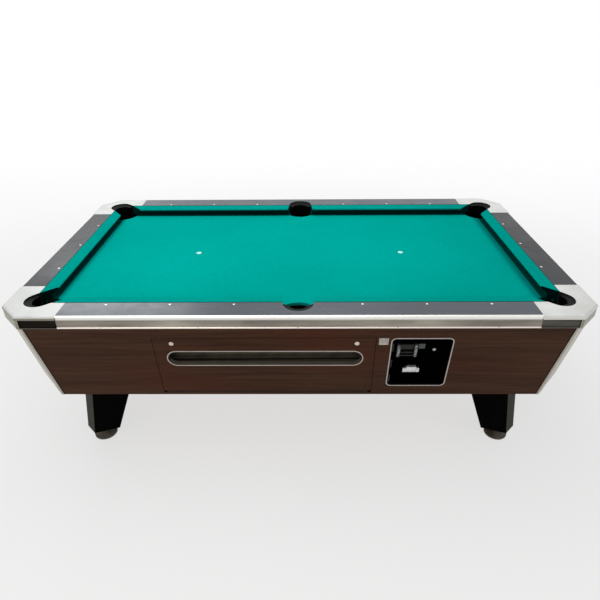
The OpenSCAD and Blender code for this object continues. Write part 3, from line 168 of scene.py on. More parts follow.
class Mat(Tree):
    """A Principled material; constants sit on the shader's own sockets."""

    def __init__(self, name, rough=0.5, metal=0.0, color=(0.5, 0.5, 0.5), **sockets):
        self.material = bpy.data.materials.new(name)
        self.material.use_nodes = True
        super().__init__(self.material.node_tree)
        self.shader = self.node("BsdfPrincipled")
        self.put(self.node("OutputMaterial").inputs[0], self.shader.outputs[0])
        self.set("Roughness", rough).set("Metallic", metal).set("Base Color", (*color, 1))
        self.material.diffuse_color = (*color, 1)
        for k, v in sockets.items():
            self.set(k.replace("_", " "), v)
        tex = self.node("TexCoord")
        self.p = tex.outputs["Object"]
        self.n = tex.outputs["Normal"]

    def set(self, name, value):
        return self.put(self.shader.inputs[name], value)

    def along(self, d, origin=(0, 0, 0), of=None):
        """Distance along a direction, as a number."""
        p = of or self.p
        if any(origin):
            p = self.vec("SUBTRACT", p, origin)
        return self.vec("DOT_PRODUCT", p, d)

    def at(self, axis):
        """Position along an axis."""
        return self.along(AXES[axis])

    def faces(self, axis):
        """How much the surface faces along an axis."""
        return self.along(AXES[axis], of=self.n)

    def reach(self):
        """|x| + |y|, which is constant along a corner's chamfer."""
        return self.add(self.size(self.at("x")), self.size(self.at("y")))

    def scaled(self, sx, sy, sz, of=None):
        n = self.node("Mapping")
        self.put(n.inputs["Vector"], of or self.p).put(n.inputs["Scale"], (sx, sy, sz))
        return n.outputs[0]

    def noise(self, scale, detail=2.0, rough=0.5, of=None, distortion=0.0):
        n = self.node("TexNoise")
        self.put(n.inputs["Vector"], of or self.p).put(n.inputs["Scale"], scale)
        self.put(n.inputs["Detail"], detail).put(n.inputs["Roughness"], rough)
        self.put(n.inputs["Distortion"], distortion)
        return n.outputs["Fac"]

    def cells(self, scale):
        n = self.node("TexVoronoi")
        self.put(n.inputs["Vector"], self.p).put(n.inputs["Scale"], scale)
        return n.outputs["Distance"]

    def wave(self, scale, direction, of=None, distortion=0.0):
        n = self.node("TexWave", bands_direction=direction)
        self.put(n.inputs["Vector"], of or self.p).put(n.inputs["Scale"], scale)
        self.put(n.inputs["Distortion"], distortion)
        return n.outputs["Fac"]

    def relief(self, height, depth, strength, under=None):
        """Normal of a bump, laid over another relief if one is given."""
        n = self.node("Bump")
        self.put(n.inputs["Strength"], strength).put(n.inputs["Distance"], depth)
        self.put(n.inputs["Height"], height)
        if under is not None:
            self.put(n.inputs["Normal"], under)
        return n.outputs[0]

    def bump(self, height, depth, strength, under=None):
        return self.set("Normal", self.relief(height, depth, strength, under))


# Cloth

def cushion_shade(m, tone):
    """Darkens a cushion below its nose, in the pocket jaws and where its cloth is tucked in."""
    x, y = m.size(m.at("x")), m.size(m.at("y"))
    nx, ny = m.size(m.faces("x")), m.size(m.faces("y"))
    under = m.step(m.at("z"), NOSE_Z, NOSE_Z - 0.0055, 0, 0.96)
    deep = m.mix(m.step(nx, 0.3, 0.6), (0.0, 0.004, 0.0035), (0.0, 0.026, 0.021))
    jaw = m.most(m.step(m.mul(nx, ny), 0.20, 0.35),
                 m.mul(m.step(x, JAW_X, JAW_X - 0.005), m.step(nx, 0.5, 0.7)))
    tuck = m.most(m.step(x, BACK_X - 0.0030, BACK_X - 0.0015),
                  m.step(y, BACK_Y - 0.0060, BACK_Y - 0.0045))
    tone = m.mix(under, tone, deep)
    tone = m.mix(jaw, tone, (0.0, 0.006, 0.005))
    return m.mix(tuck, tone, (0.0, 0.024, 0.022))


def bed_shade(m, tone):
    """Darkens the bed cloth below the noses, with a softer shade beside the end cushions."""
    x, y = m.size(m.at("x")), m.size(m.at("y"))
    ends = m.mul(m.step(x, NOSE_X - 0.004, NOSE_X + 0.001),
                 m.step(y, NOSE_Y - 0.040, NOSE_Y - 0.060))
    sides = m.mul(m.step(y, NOSE_Y - 0.004, NOSE_Y + 0.001),
                  m.step(x, NOSE_X - 0.040, NOSE_X - 0.060))
    right = m.step(m.at("x"), -0.1, 0.1)
    soft = m.add(m.mul(right, m.step(x, NOSE_X - 0.048, NOSE_X - 0.006, 0, 0.55)),
                 m.mul(m.sub(1.0, right), m.step(x, NOSE_X - 0.026, NOSE_X - 0.004, 0, 0.40)))
    soft = m.mul(soft, m.step(y, NOSE_Y - 0.020, NOSE_Y - 0.060))
    return m.mix(m.most(soft, m.most(ends, sides)), tone, (0.0, 0.026, 0.022))


def cloth(name, shade, gain=1.0):
    """Green cloth with nap, weave and pills."""
    m = Mat(name, rough=0.95, color=(0.0, 0.37, 0.33), Sheen_Weight=0.10, Sheen_Roughness=0.5,
            Sheen_Tint=(0.0, 0.85, 0.80, 1), Specular_IOR_Level=0.0)
    broad = m.noise(1.6, 3, 0.5)
    nap = m.noise(46, 5, 0.65, of=m.scaled(1, 2.6, 1))
    tone = m.ramp(m.add(m.mul(broad, 0.5), m.mul(nap, 0.5)),
                  [(0.30, (0.0, 0.284 * gain, 0.247 * gain)),
                   (0.52, (0.0, 0.337 * gain, 0.292 * gain)),
                   (0.75, (0.0, 0.385 * gain, 0.334 * gain))])
    fibre = m.noise(900, 2, 0.7, of=m.scaled(1, 1.7, 1))
    tone = m.mix(m.step(fibre, 0.35, 0.75, 0, 0.22), tone,
                 (0.003, 0.45 * gain, 0.385 * gain))
    m.set("Base Color", shade(m, tone))
    warp = m.wave(210, "X", distortion=0.7)
    weft = m.wave(230, "Y", distortion=0.7)
    weave = m.add(m.mul(warp, weft), m.mul(fibre, 0.8))
    pills = m.relief(m.noise(120, 4, 0.6), 0.0008, 0.30)
    m.bump(weave, 0.0003, 0.55, under=pills)
    return m.material


# Laminate and wood

def laminate(name, axis, coat, gain, spec, tint):
    """Charcoal rail laminate, its grain along the rail, with the wooden core below."""
    m = Mat(name, rough=0.3, color=(0.042, 0.045, 0.052), Coat_Weight=coat, Coat_Roughness=0.22,
            Specular_IOR_Level=spec)
    s = (2.2, 90, 90) if axis == "x" else (90, 2.2, 90)
    grain = m.noise(3.0, 7, 0.62, of=m.scaled(*s))
    fine = m.noise(9.0, 4, 0.7, of=m.scaled(*s))
    stops = [(0.30, (0.026, 0.029, 0.034)), (0.52, (0.044, 0.048, 0.056)),
             (0.72, (0.066, 0.070, 0.080))]
    # gain scales the laminate's colour; below 1 it is painted shade, as on the end rails
    top = m.ramp(grain, [(at, tuple(v * t * gain for v, t in zip(c, tint))) for at, c in stops])
    top = m.mix(m.step(fine, 0.56, 0.72, 0, 0.5), top, (0.020, 0.022, 0.026))
    core = m.ramp(m.noise(5, 6, 0.6, of=m.scaled(*(v * 0.5 for v in s))),
                  [(0.3, (0.23, 0.13, 0.065)), (0.7, (0.36, 0.23, 0.125))])
    # Round the side pocket the wooden core is painted near black: painted shade inside the pocket
    if axis == "x":
        side_pocket = m.step(m.size(m.at("x")), HOLE_X, HOLE_X - 0.005)
        core = m.mix(side_pocket, core, (0.008, 0.008, 0.008))
    m.set("Base Color", m.mix(m.step(m.at("z"), RAIL - 0.0016, RAIL - 0.0011), core, top))
    smudge = m.step(m.noise(7, 4, 0.6), 0.35, 0.7, 0.22, 0.36)
    m.set("Roughness", m.add(smudge, m.mul(fine, 0.06)))
    m.bump(m.add(grain, m.mul(fine, 0.5)), 0.00012, 0.25)
    return m.material


def board_frame(m, side):
    """Along the board, up it and out of it, and the outward direction, for a leaning apron."""
    c, s = math.cos(TAPER), math.sin(TAPER)
    if side == "front":
        o, u, v, n = (0, -FRONT, CAB_Z0), (1, 0, 0), (0, -s, c), (0, -c, -s)
    elif side == "back":
        o, u, v, n = (0, FRONT, CAB_Z0), (-1, 0, 0), (0, s, c), (0, c, -s)
    elif side == "right":
        o, u, v, n = (END, 0, CAB_Z0), (0, 1, 0), (s, 0, c), (c, 0, -s)
    else:
        o, u, v, n = (-END, 0, CAB_Z0), (0, -1, 0), (-s, 0, c), (-c, 0, -s)
    return m.along(u, o), m.along(v, o), m.along(n, o), n


def walnut(side):
    """Dark walnut laminate on the outer face, black edges and raw board behind, and a dark line
    beside each corner cover that is partly the board's black edge and partly painted shadow.
    """
    m = Mat("walnut_" + side, rough=0.42, color=(0.046, 0.022, 0.014), Specular_IOR_Level=0.05)
    u, v, n, out = board_frame(m, side)
    p = m.xyz(u, v, n)
    bend = m.noise(1.1, 3, 0.5, of=m.scaled(1.0, 3.0, 0, of=p))
    q = m.vec("ADD", p, m.xyz(y=m.mul(m.sub(bend, 0.5), 0.055)))
    broad = m.noise(2.0, 4, 0.55, of=m.scaled(0.55, 9.0, 0, of=q))
    band = m.noise(2.6, 7, 0.62, of=m.scaled(0.9, 26.0, 0, of=q))
    pore = m.noise(7.0, 5, 0.72, of=m.scaled(1.6, 88.0, 0, of=q))
    tint = m.noise(1.3, 2, 0.5, of=m.scaled(1.0, 3.5, 0, of=q))
    base = m.ramp(m.add(m.mul(broad, 0.45), m.mul(band, 0.55)),
                  [(0.32, (0.025, 0.0118, 0.0064)), (0.46, (0.046, 0.0210, 0.0114)),
                   (0.60, (0.068, 0.0316, 0.0168)), (0.76, (0.090, 0.0428, 0.0227))])
    red = m.mul(m.step(tint, 0.42, 0.62, 0, 0.55), m.step(m.size(u), 0.45, 0.95, 1.0, 0.15))
    base = m.mix(red, base, (0.071, 0.0194, 0.0105))
    base = m.mix(m.step(pore, 0.54, 0.70, 0, 0.62), base, (0.014, 0.0065, 0.0045))
    half = END if side in ("front", "back") else FRONT
    # Dark line along the joint with the corner cover: the board's black edge, with painted shadow
    brink = m.sub(m.size(u), m.mul(v, COVER_SLOPE))
    base = m.mix(m.step(brink, half - COVER_IN - 0.0005, half - COVER_IN + 0.0005), base,
                 (0.007, 0.0055, 0.0045))
    raw = m.ramp(m.noise(160, 4, 0.7), [(0.35, (0.19, 0.125, 0.075)), (0.65, (0.30, 0.21, 0.13))])
    edge = m.mix(m.step(n, -RAW_FROM - 0.0005, -RAW_FROM), raw, (0.0065, 0.0055, 0.005))
    m.set("Base Color", m.mix(m.step(m.along(out, of=m.n), 0.70, 0.80), edge, base))
    m.set("Roughness", m.step(pore, 0.3, 0.8, 0.36, 0.52))
    m.bump(m.add(pore, m.mul(band, 0.4)), 0.0003, 0.22)
    return m.material


def timber(name, light, dark, black_from=None):
    """Raw timber; black_from is the |x| + |y| beyond which it is painted black."""
    m = Mat(name, rough=0.6, color=light)
    ring = m.noise(2.6, 6, 0.6, of=m.scaled(1.2, 22, 22), distortion=0.6)
    pore = m.noise(9, 4, 0.7, of=m.scaled(2.4, 44, 44))
    base = m.ramp(ring, [(0.30, dark), (0.50, light), (0.72, tuple(v * 1.2 for v in light))])
    base = m.mix(m.step(pore, 0.55, 0.7, 0, 0.4), base, tuple(v * 0.6 for v in dark))
    if black_from is not None:
        base = m.mix(m.step(m.reach(), black_from, black_from + 0.002), base,
                     (0.010, 0.009, 0.008))
    m.set("Base Color", base)
    m.bump(pore, 0.0004, 0.3)
    return m.material


def leg_mat():
    """Black laminate; the narrow nose towards the corner is painted lighter, a painted sheen for
    the light it catches.
    """
    m = Mat("leg_black", rough=0.44, color=(0.001, 0.0008, 0.0007), Specular_IOR_Level=0.015)
    nose = m.step(m.size(m.mul(m.faces("x"), m.faces("y"))), 0.40, 0.47)
    grain = m.noise(3, 6, 0.65, of=m.scaled(60, 60, 2))
    front = m.mix(m.step(grain, 0.4, 0.65), (0.0006, 0.0004, 0.0004), (0.0016, 0.0012, 0.0010))
    # Painted sheen: the nose faces are grey, the front faces black
    side = m.mix(m.step(grain, 0.35, 0.65), (0.036, 0.036, 0.028), (0.060, 0.059, 0.047))
    m.set("Base Color", m.mix(nose, front, side))
    m.set("Roughness", m.step(grain, 0.3, 0.7, 0.36, 0.50))
    m.bump(grain, 0.0003, 0.2)
    return m.material


# Metal

def spread(color, share):
    """A darker and a lighter shade of a colour."""
    return (tuple(v * (1 - share) for v in color),
            tuple(min(1, v * (1 + share)) for v in color))


def brushed(name, axis):
    """Rolled aluminium trim, brushed along its length, with a painted highlight on its roll and
    its bead.
    """
    tone = (0.28, 0.255, 0.215)
    m = Mat(name, rough=0.3, metal=0.85, color=tone)
    s = (1.4, 160, 160) if axis == "x" else (160, 1.4, 160)
    line = m.noise(3.2, 8, 0.7, of=m.scaled(*s))
    cloud = m.noise(2.4, 3, 0.5, of=m.scaled(*(min(v, 5) for v in s)))
    dark, pale = (tuple(v * k for v in tone) for k in (0.52, 1.75))
    base = m.ramp(m.add(m.mul(line, 0.5), m.mul(cloud, 0.5)),
                  [(0.34, dark), (0.50, tone), (0.68, pale)])
    z = m.at("z")
    # Painted highlight: near white on the rolled top, pale on the bead below
    base = m.mix(m.step(z, RAIL - 0.020, RAIL - 0.0115), base, (0.86, 0.84, 0.80))
    base = m.mix(m.step(z, BEAD_TOP + 0.0005, BEAD_TOP - 0.0005), base, (0.78, 0.70, 0.64))
    m.set("Base Color", base)
    m.set("Roughness", m.step(line, 0.3, 0.7, 0.24, 0.40))
    m.bump(line, 0.00012, 0.25)
    return m.material


def casting_mat():
    """Satin cast metal: cream top and lip, dark recessed skirts, black pocket walls; the skirts'
    darkness is partly bare metal and partly painted shade and reflection, and painted light makes
    the left end darker and the right end paler.
    """
    m = Mat("cast_metal", rough=0.38, metal=0.20, color=(0.70, 0.69, 0.66))
    grain = m.noise(420, 3, 0.7)
    cloud = m.noise(9, 4, 0.55)
    x, y, z = m.size(m.at("x")), m.size(m.at("y")), m.at("z")
    reach = m.reach()
    # Painted light: the castings are shaded darker at the left end and paler at the right end
    right = m.step(m.at("x"), -0.9, 0.9)  # 0 at the left end, 1 at the right

    top = m.ramp(cloud, [(0.3, (0.62, 0.63, 0.61)), (0.55, (0.70, 0.715, 0.70)),
                         (0.75, (0.76, 0.775, 0.765))])
    top = m.mix(m.step(grain, 0.55, 0.75, 0, 0.18), top, (0.50, 0.50, 0.48))
    # Painted shade: the top darkens towards the left end
    top = m.mix(m.step(m.at("x"), -0.9, 0.9, 0.20, 0.0), top, (0.06, 0.06, 0.055))
    # Painted reflection: the lip is dark at the left end and pale at the right end
    edge = m.mix(right, (0.22, 0.21, 0.165), (0.70, 0.69, 0.65))
    lip = m.mix(m.step(z, RAIL - 0.009, RAIL - 0.003), edge, top)

    foot = SKIRT_Z - 0.0005, SKIRT_Z
    diag = m.step(m.size(m.mul(m.faces("x"), m.faces("y"))), 0.32, 0.42)
    block = m.most(diag, m.step(reach, CHAMFER - 0.0140, CHAMFER - 0.0132))
    # Recessed skirts: dark bare metal with painted shade and reflection, darkest at the left end
    skirt = m.mix(m.step(m.noise(6, 4, 0.6, of=m.scaled(1, 1, 8)), 0.4, 0.7, 0, 0.5),
                  m.mix(right, (0.010, 0.008, 0.006), (0.045, 0.042, 0.032)),
                  m.mix(right, (0.030, 0.026, 0.020), (0.100, 0.094, 0.074)))
    skirt = m.mix(m.step(z, *foot, 0.55, 0), skirt, (0.13, 0.125, 0.11))
    solid = m.mix(m.step(cloud, 0.35, 0.65), (0.26, 0.25, 0.19), (0.35, 0.335, 0.265))
    skirt = m.mix(block, skirt, solid)

    above = m.step(z, LIP_Z - 0.0005, LIP_Z + 0.0005)
    base = m.mix(above, skirt, lip)
    wall = m.step(m.size(m.faces("z")), 0.6, 0.5)
    inside = m.mul(m.step(x, MOUTH_X + 0.0025, MOUTH_X - 0.0025),
                   m.step(y, MOUTH_Y + 0.0025, MOUTH_Y - 0.0025))
    inside = m.mul(inside, m.step(reach, CHAMFER - 0.0075, CHAMFER - 0.0085))
    m.set("Base Color", m.mix(m.mul(wall, inside), base, (0.010, 0.0095, 0.008)))
    # A metallic skirt mirrors little of the floor, being dark
    dim = m.mul(m.sub(1.0, above), m.sub(1.0, block))
    dim = m.mul(dim, m.step(z, *foot, 0.2, 1))
    m.set("Metallic", m.most(m.mul(dim, m.sub(1.0, m.mul(right, 0.6))), 0.20))
    m.set("Roughness", m.step(cloud, 0.3, 0.7, 0.30, 0.44))
    m.bump(grain, 0.0002, 0.16)
    return m.material


def cover_mat():
    """Dull metal of the corner covers, brushed upwards."""
    m = Mat("corner_metal", rough=0.34, metal=0.75, color=(0.52, 0.48, 0.42))
    line = m.noise(3.0, 7, 0.7, of=m.scaled(90, 90, 1.6))
    cloud = m.noise(3.2, 3, 0.5)
    m.set("Base Color", m.ramp(m.add(m.mul(line, 0.55), m.mul(cloud, 0.45)),
                               [(0.33, (0.27, 0.245, 0.205)), (0.52, (0.41, 0.375, 0.32)),
                                (0.70, (0.54, 0.50, 0.44))]))
    m.set("Roughness", m.step(line, 0.3, 0.7, 0.26, 0.42))
    m.bump(line, 0.00015, 0.3)
    return m.material


def metal(name, color, rough, share=0.3):
    """Plated or bare metal with fine turned or drawn lines."""
    m = Mat(name, rough=rough, metal=1.0, color=color)
    line = m.noise(240, 5, 0.65)
    cloud = m.noise(22, 3, 0.5)
    streak = m.step(m.add(m.mul(line, 0.6), m.mul(cloud, 0.4)), 0.35, 0.65)
    m.set("Base Color", m.mix(streak, *spread(color, share)))
    m.set("Roughness", m.step(line, 0.3, 0.7, rough * 0.8, rough * 1.3))
    m.bump(line, 0.0001, 0.2)
    return m.material


def lock_mat(name, centre=None):
    """Nickel lock; a centre gives the coin lock its dark collar."""
    m = Mat(name, rough=0.26, metal=1.0, color=(0.62, 0.56, 0.50))
    line = m.noise(240, 5, 0.65)
    base = m.mix(m.step(line, 0.35, 0.65), (0.50, 0.435, 0.375), (0.80, 0.70, 0.61))
    if centre is not None:
        away = m.vec("CROSS_PRODUCT", m.vec("SUBTRACT", m.p, centre),
                     (0, math.cos(TAPER), math.sin(TAPER)))
        square = m.vec("DOT_PRODUCT", away, away)
        base = m.mix(m.step(square, 0.0056 ** 2, 0.0068 ** 2), (0.42, 0.44, 0.42),
                     (0.010, 0.010, 0.010))
    m.set("Base Color", base)
    m.set("Roughness", m.step(line, 0.3, 0.7, 0.20, 0.34))
    m.bump(line, 0.0001, 0.2)
    return m.material


def coin_frame_mat():
    """Pale rim round the opening, black paint behind it."""
    m = Mat("coin_frame", rough=0.34, metal=0.6, color=(0.42, 0.39, 0.36),
            Specular_IOR_Level=0.12)
    u, v, n, _ = board_frame(m, "front")
    line = m.noise(400, 4, 0.6)
    streak = m.step(line, 0.3, 0.7)
    rim = m.mix(streak, (0.34, 0.31, 0.285), (0.50, 0.465, 0.43))
    dark = m.mix(streak, (0.006, 0.006, 0.006), (0.014, 0.013, 0.012))
    half_w, half_h, r = COIN_RIM
    u = m.most(m.sub(m.size(m.sub(u, COIN_U)), half_w - r), 0.0)
    v = m.most(m.sub(m.size(m.sub(v, COIN_V)), half_h - r), 0.0)
    out = m.math("SQRT", m.add(m.mul(u, u), m.mul(v, v)))
    pale = m.mul(m.step(n, 0.0002, 0.0008), m.step(out, r - 0.0004, r - 0.0001))
    m.set("Base Color", m.mix(pale, dark, rim))
    m.set("Metallic", m.mul(pale, 0.6))
    m.set("Roughness", m.step(line, 0.3, 0.7, 0.28, 0.40))
    m.bump(line, 0.0001, 0.2)
    return m.material


def slot_rim_mat():
    """Pale outer edge of the slot's trim; inside it, painted shade darkens the walls and, less
    so, the sill, which faces up.
    """
    m = Mat("slot_rim", rough=0.36, metal=0.7, color=(0.44, 0.385, 0.34))
    u, v, _, _ = board_frame(m, "front")
    u = m.most(m.sub(m.size(m.sub(u, SLOT_U)), (SLOT_W - SLOT_H) / 2), 0.0)
    v = m.sub(v, SLOT_V)
    out = m.math("SQRT", m.add(m.mul(u, u), m.mul(v, v)))
    inner_r = SLOT_H / 2 - SLOT_RIM
    pale = m.step(out, inner_r - 0.0002, inner_r + 0.0002)
    line = m.noise(420, 4, 0.6, of=m.scaled(0.05, 1, 1))
    streak = m.step(line, 0.3, 0.7)
    rim = m.mix(streak, (0.38, 0.325, 0.285), (0.52, 0.455, 0.40))
    # Painted shade inside the trim: dark walls, and a lighter sill where it faces up
    sill = m.mix(streak, (0.105, 0.090, 0.068), (0.140, 0.120, 0.094))
    inner = m.mix(m.step(m.faces("z"), 0.3, 0.6), (0.030, 0.025, 0.021), sill)
    m.set("Base Color", m.mix(pale, inner, rim))
    m.set("Metallic", m.mul(pale, 0.7))
    m.set("Roughness", m.step(line, 0.3, 0.7, 0.28, 0.42))
    m.bump(line, 0.0001, 0.2)
    return m.material


def acceptor_mat():
    """Chrome side rails, grey ribbed middle, silvery return."""
    m = Mat("acceptor", rough=0.30, metal=0.75, color=(0.3, 0.3, 0.3))
    u, v, n, _ = board_frame(m, "front")
    u, v = m.sub(u, COIN_U), m.sub(v, COIN_V)
    side = m.size(m.add(u, 0.057))
    rails = m.mul(m.step(side, 0.0285, 0.0292), m.step(v, 0.030, 0.032))
    low = m.mul(m.step(v, 0.010, 0.008), m.step(n, -0.0045, -0.0035))
    rib = m.wave(60, "Z", of=m.scaled(0, 0, 1))
    grime = m.noise(90, 4, 0.6)
    dirt = m.step(grime, 0.35, 0.65)
    mid = m.mix(m.step(rib, 0.35, 0.65), (0.006, 0.006, 0.006), (0.032, 0.033, 0.030))
    chrome = m.mix(dirt, (0.055, 0.060, 0.055), (0.26, 0.28, 0.26))
    pale = m.mix(dirt, (0.50, 0.50, 0.51), (0.74, 0.74, 0.75))
    m.set("Base Color", m.mix(low, m.mix(rails, mid, chrome), pale))
    m.set("Roughness", m.step(grime, 0.3, 0.7, 0.22, 0.42))
    m.bump(grime, 0.0002, 0.2)
    return m.material


# Rubber, paint and the rest

def rubber(name, color, grain=260, depth=0.0006, rough=0.42, spec=0.5, painted_light=None):
    """Pebbled black rubber or moulded plastic; the last argument is a function that paints light
    and shade onto its colour.
    """
    m = Mat(name, rough=rough, color=color, Specular_IOR_Level=spec)
    cloud = m.noise(14, 4, 0.6)
    base = m.mix(m.step(cloud, 0.35, 0.7), tuple(v * 0.7 for v in color),
                 tuple(v * 2.2 for v in color))
    if painted_light is not None:
        base = painted_light(m, base)
    m.set("Base Color", base)
    m.set("Roughness", m.step(cloud, 0.3, 0.7, rough * 0.8, rough * 1.25))
    m.bump(m.cells(grain), depth, 0.5, under=m.relief(cloud, 0.0006, 0.15))
    return m.material


def liner_painted_light(m, base):
    """Painted highlight as grey flecks on the liners' tops, strongest on the front corner
    pockets, and painted shade on their walls.
    """
    # Painted highlight: grey flecks, weak at the back and at the side pockets
    highlight_fleck = m.step(m.noise(416, 3, 0.7), 0.55, 0.70, 0, 0.8)
    highlight_fleck = m.mul(highlight_fleck, m.step(m.at("y"), -0.2, 0.3, 1.0, 0.1))
    highlight_fleck = m.mul(highlight_fleck, m.step(m.size(m.at("x")), 0.2, 0.4, 0.25, 1.0))
    base = m.mix(highlight_fleck, base, (0.063, 0.0675, 0.0648))
    # Painted shade: the walls inside the pockets are near black
    return m.mix(m.step(m.faces("z"), 0.45, 0.70), (0.0012, 0.0012, 0.0012), base)


def painted(name, color, rough=0.5, grain=600, metal=0.0, spec=0.5):
    """Powder coat or paint with a fine orange peel and a little dust."""
    m = Mat(name, rough=rough, metal=metal, color=color, Specular_IOR_Level=spec)
    cloud = m.noise(11, 4, 0.6)
    m.set("Base Color", m.mix(m.step(cloud, 0.3, 0.7), *spread(color, 0.35)))
    m.set("Roughness", m.step(cloud, 0.3, 0.7, rough * 0.85, rough * 1.2))
    m.bump(m.noise(grain, 2, 0.5), 0.0003, 0.2)
    return m.material


def tray_mat():
    """Painted tray, with painted shade along the crease where the balls lie."""
    m = Mat("tray_paint", rough=0.5, color=(0.112, 0.097, 0.072), Specular_IOR_Level=0.2)
    cloud = m.noise(11, 4, 0.6)
    base = m.mix(m.step(cloud, 0.3, 0.7), (0.085, 0.075, 0.056), (0.150, 0.130, 0.098))
    # Painted shade in the crease along the trough line
    off = m.size(m.along(AXES["y"], (0, TROUGH_Y, 0)))
    trough = m.mul(m.step(off, 0.0095, 0.0015, 0, 0.93), m.step(m.faces("z"), 0.5, 0.7))
    m.set("Base Color", m.mix(trough, base, (0.003, 0.003, 0.002)))
    m.set("Roughness", m.step(cloud, 0.3, 0.7, 0.42, 0.60))
    m.bump(m.noise(600, 2, 0.5), 0.0003, 0.2)
    return m.material


def slate_mat():
    m = Mat("slate", rough=0.75, color=(0.075, 0.08, 0.083))
    bed = m.noise(3, 7, 0.6, of=m.scaled(2, 2, 60))
    m.set("Base Color", m.ramp(bed, [(0.3, (0.045, 0.050, 0.053)), (0.7, (0.105, 0.112, 0.115))]))
    m.bump(bed, 0.0008, 0.4)
    return m.material


def pearl_mat():
    """Swirled plastic of the rail sights."""
    m = Mat("pearl", rough=0.2, color=(0.85, 0.85, 0.87), Coat_Weight=0.6, Coat_Roughness=0.08)
    swirl = m.noise(260, 4, 0.6, distortion=1.8)
    m.set("Base Color", m.ramp(swirl, [(0.3, (0.74, 0.75, 0.80)), (0.5, (0.90, 0.90, 0.90)),
                                       (0.7, (0.93, 0.87, 0.86))]))
    m.bump(swirl, 0.0002, 0.1)
    return m.material


def spot_mat():
    m = Mat("white_spot", rough=0.8, color=(0.47, 0.82, 0.82), Sheen_Weight=0.1)
    fibre = m.noise(1500, 3, 0.7)
    m.set("Base Color", m.mix(m.step(fibre, 0.3, 0.7), (0.38, 0.74, 0.74), (0.56, 0.90, 0.90)))
    m.bump(fibre, 0.0002, 0.4)
    return m.material


# Materials of the CAD nodes

CLOTH = cloth("bed_cloth_mat", bed_shade)
CUSHION = cloth("cushion_cloth_mat", cushion_shade, gain=0.86)
SCREW = metal("screw_steel", (0.50, 0.47, 0.43), 0.3)
CUSHIONS = ["cushion_front_left", "cushion_front_right", "cushion_back_left",
            "cushion_back_right", "cushion_left_end", "cushion_right_end"]

LOOKS = [
    (slate_mat(), ["slate_bed"]),
    (CLOTH, ["bed_cloth"]),
    (CUSHION, CUSHIONS),
    (pearl_mat(), ["rail_sights"]),
    (laminate("rail_laminate_x", "x", 0.22, 1.0, 0.40, (0.80, 1.0, 1.20)),
     ["rail_front", "rail_back"]),
    # The end rails are the same laminate at 0.55 of its colour: painted shade
    (laminate("rail_laminate_y", "y", 0.02, 0.55, 0.20, (1.02, 1.0, 0.97)),
     ["rail_left", "rail_right"]),
    (brushed("trim_metal_x", "x"), ["trim_front", "trim_back"]),
    (brushed("trim_metal_y", "y"), ["trim_left", "trim_right"]),
    (casting_mat(), ["casting_" + c for c in CORNERS]),
    # Pocket liners: painted highlight on their tops and painted shade on their walls
    (rubber("pocket_rubber", (0.007, 0.0075, 0.0072), spec=0.03, painted_light=liner_painted_light),
     ["liner_" + c for c in CORNERS + ("front_side", "back_side")]),
    (cover_mat(), ["corner_covers"]),
    (timber("frame_pine", (0.50, 0.34, 0.18), (0.30, 0.18, 0.085), black_from=1.50),
     ["inner_frame"]),
    (timber("floor_ply", (0.42, 0.28, 0.15), (0.27, 0.16, 0.08)), ["cabinet_floor"]),
    (leg_mat(), ["leg_" + c for c in CORNERS]),
    (rubber("foot_rubber", (0.050, 0.042, 0.032), grain=180, rough=0.5),
     ["leveller_" + c for c in CORNERS]),
    (metal("zinc_steel", (0.46, 0.46, 0.45), 0.34, share=0.4), ["frame_bolts", "release_gate"]),
    (painted("hinge_paint", (0.034, 0.017, 0.010), spec=0.1),
     ["door_hinge_leaf", "apron_hinge_leaf"]),
    (lock_mat("nickel"), ["cam_lock_left", "cam_lock_right"]),
    (slot_rim_mat(), ["slot_trim"]),
    (tray_mat(), ["ball_tray"]),
    # Dark runway colour: partly the board's paint and partly painted shade inside the pockets
    (painted("runway_paint_and_shade", (0.030, 0.028, 0.025), rough=0.55, spec=0.2), ["ball_runways"]),
    (rubber("black_plastic", (0.010, 0.010, 0.0095), grain=700, depth=0.0002),
     ["cue_ball_cup"]),
    (coin_frame_mat(), ["coin_door_frame"]),
    (painted("coin_door_paint", (0.0003, 0.0003, 0.0003), spec=0.0), ["coin_door"]),
    (acceptor_mat(), ["coin_acceptor"]),
    (lock_mat("coin_nickel", COIN_LOCK), ["coin_lock"]),
    (metal("grey_metal", (0.095, 0.105, 0.095), 0.42), ["reject_button"]),
    (metal("silver_plate", (0.72, 0.72, 0.73), 0.25), ["coin_return_flap"]),
    (painted("cash_box_paint", (0.10, 0.11, 0.115), rough=0.35, grain=220, metal=0.3),
     ["cash_box"]),
]
LOOKS += [(walnut(s), ["apron_" + s] + (["ball_door"] if s == "front" else [])) for s in SIDES]


def dress(obj, material):
    if not obj.data.materials:
        obj.data.materials.append(material)
    for i in range(len(obj.data.materials)):
        obj.data.materials[i] = material


for material, names in LOOKS:
    for name in names:
        dress(nodes[name], material)


# Pieces

def piece(name, bm, material, body, smooth=True):
    mesh = bpy.data.meshes.new(name)
    bmesh.ops.recalc_face_normals(bm, faces=bm.faces)
    bm.to_mesh(mesh)
    bm.free()
    if smooth:
        for f in mesh.polygons:
            f.use_smooth = True
    obj = bpy.data.objects.new(name, mesh)
    scene.collection.objects.link(obj)
    mesh.materials.append(material)
    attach(obj, body)
    return obj


def node_bmesh(name):
    """A CAD node's mesh with its flat faces whole again."""
    bm = bmesh.new()
    bm.from_mesh(nodes[name].data)
    bmesh.ops.remove_doubles(bm, verts=bm.verts, dist=1e-5)
    bmesh.ops.dissolve_limit(bm, angle_limit=math.radians(1.5), verts=bm.verts, edges=bm.edges)
    return bm


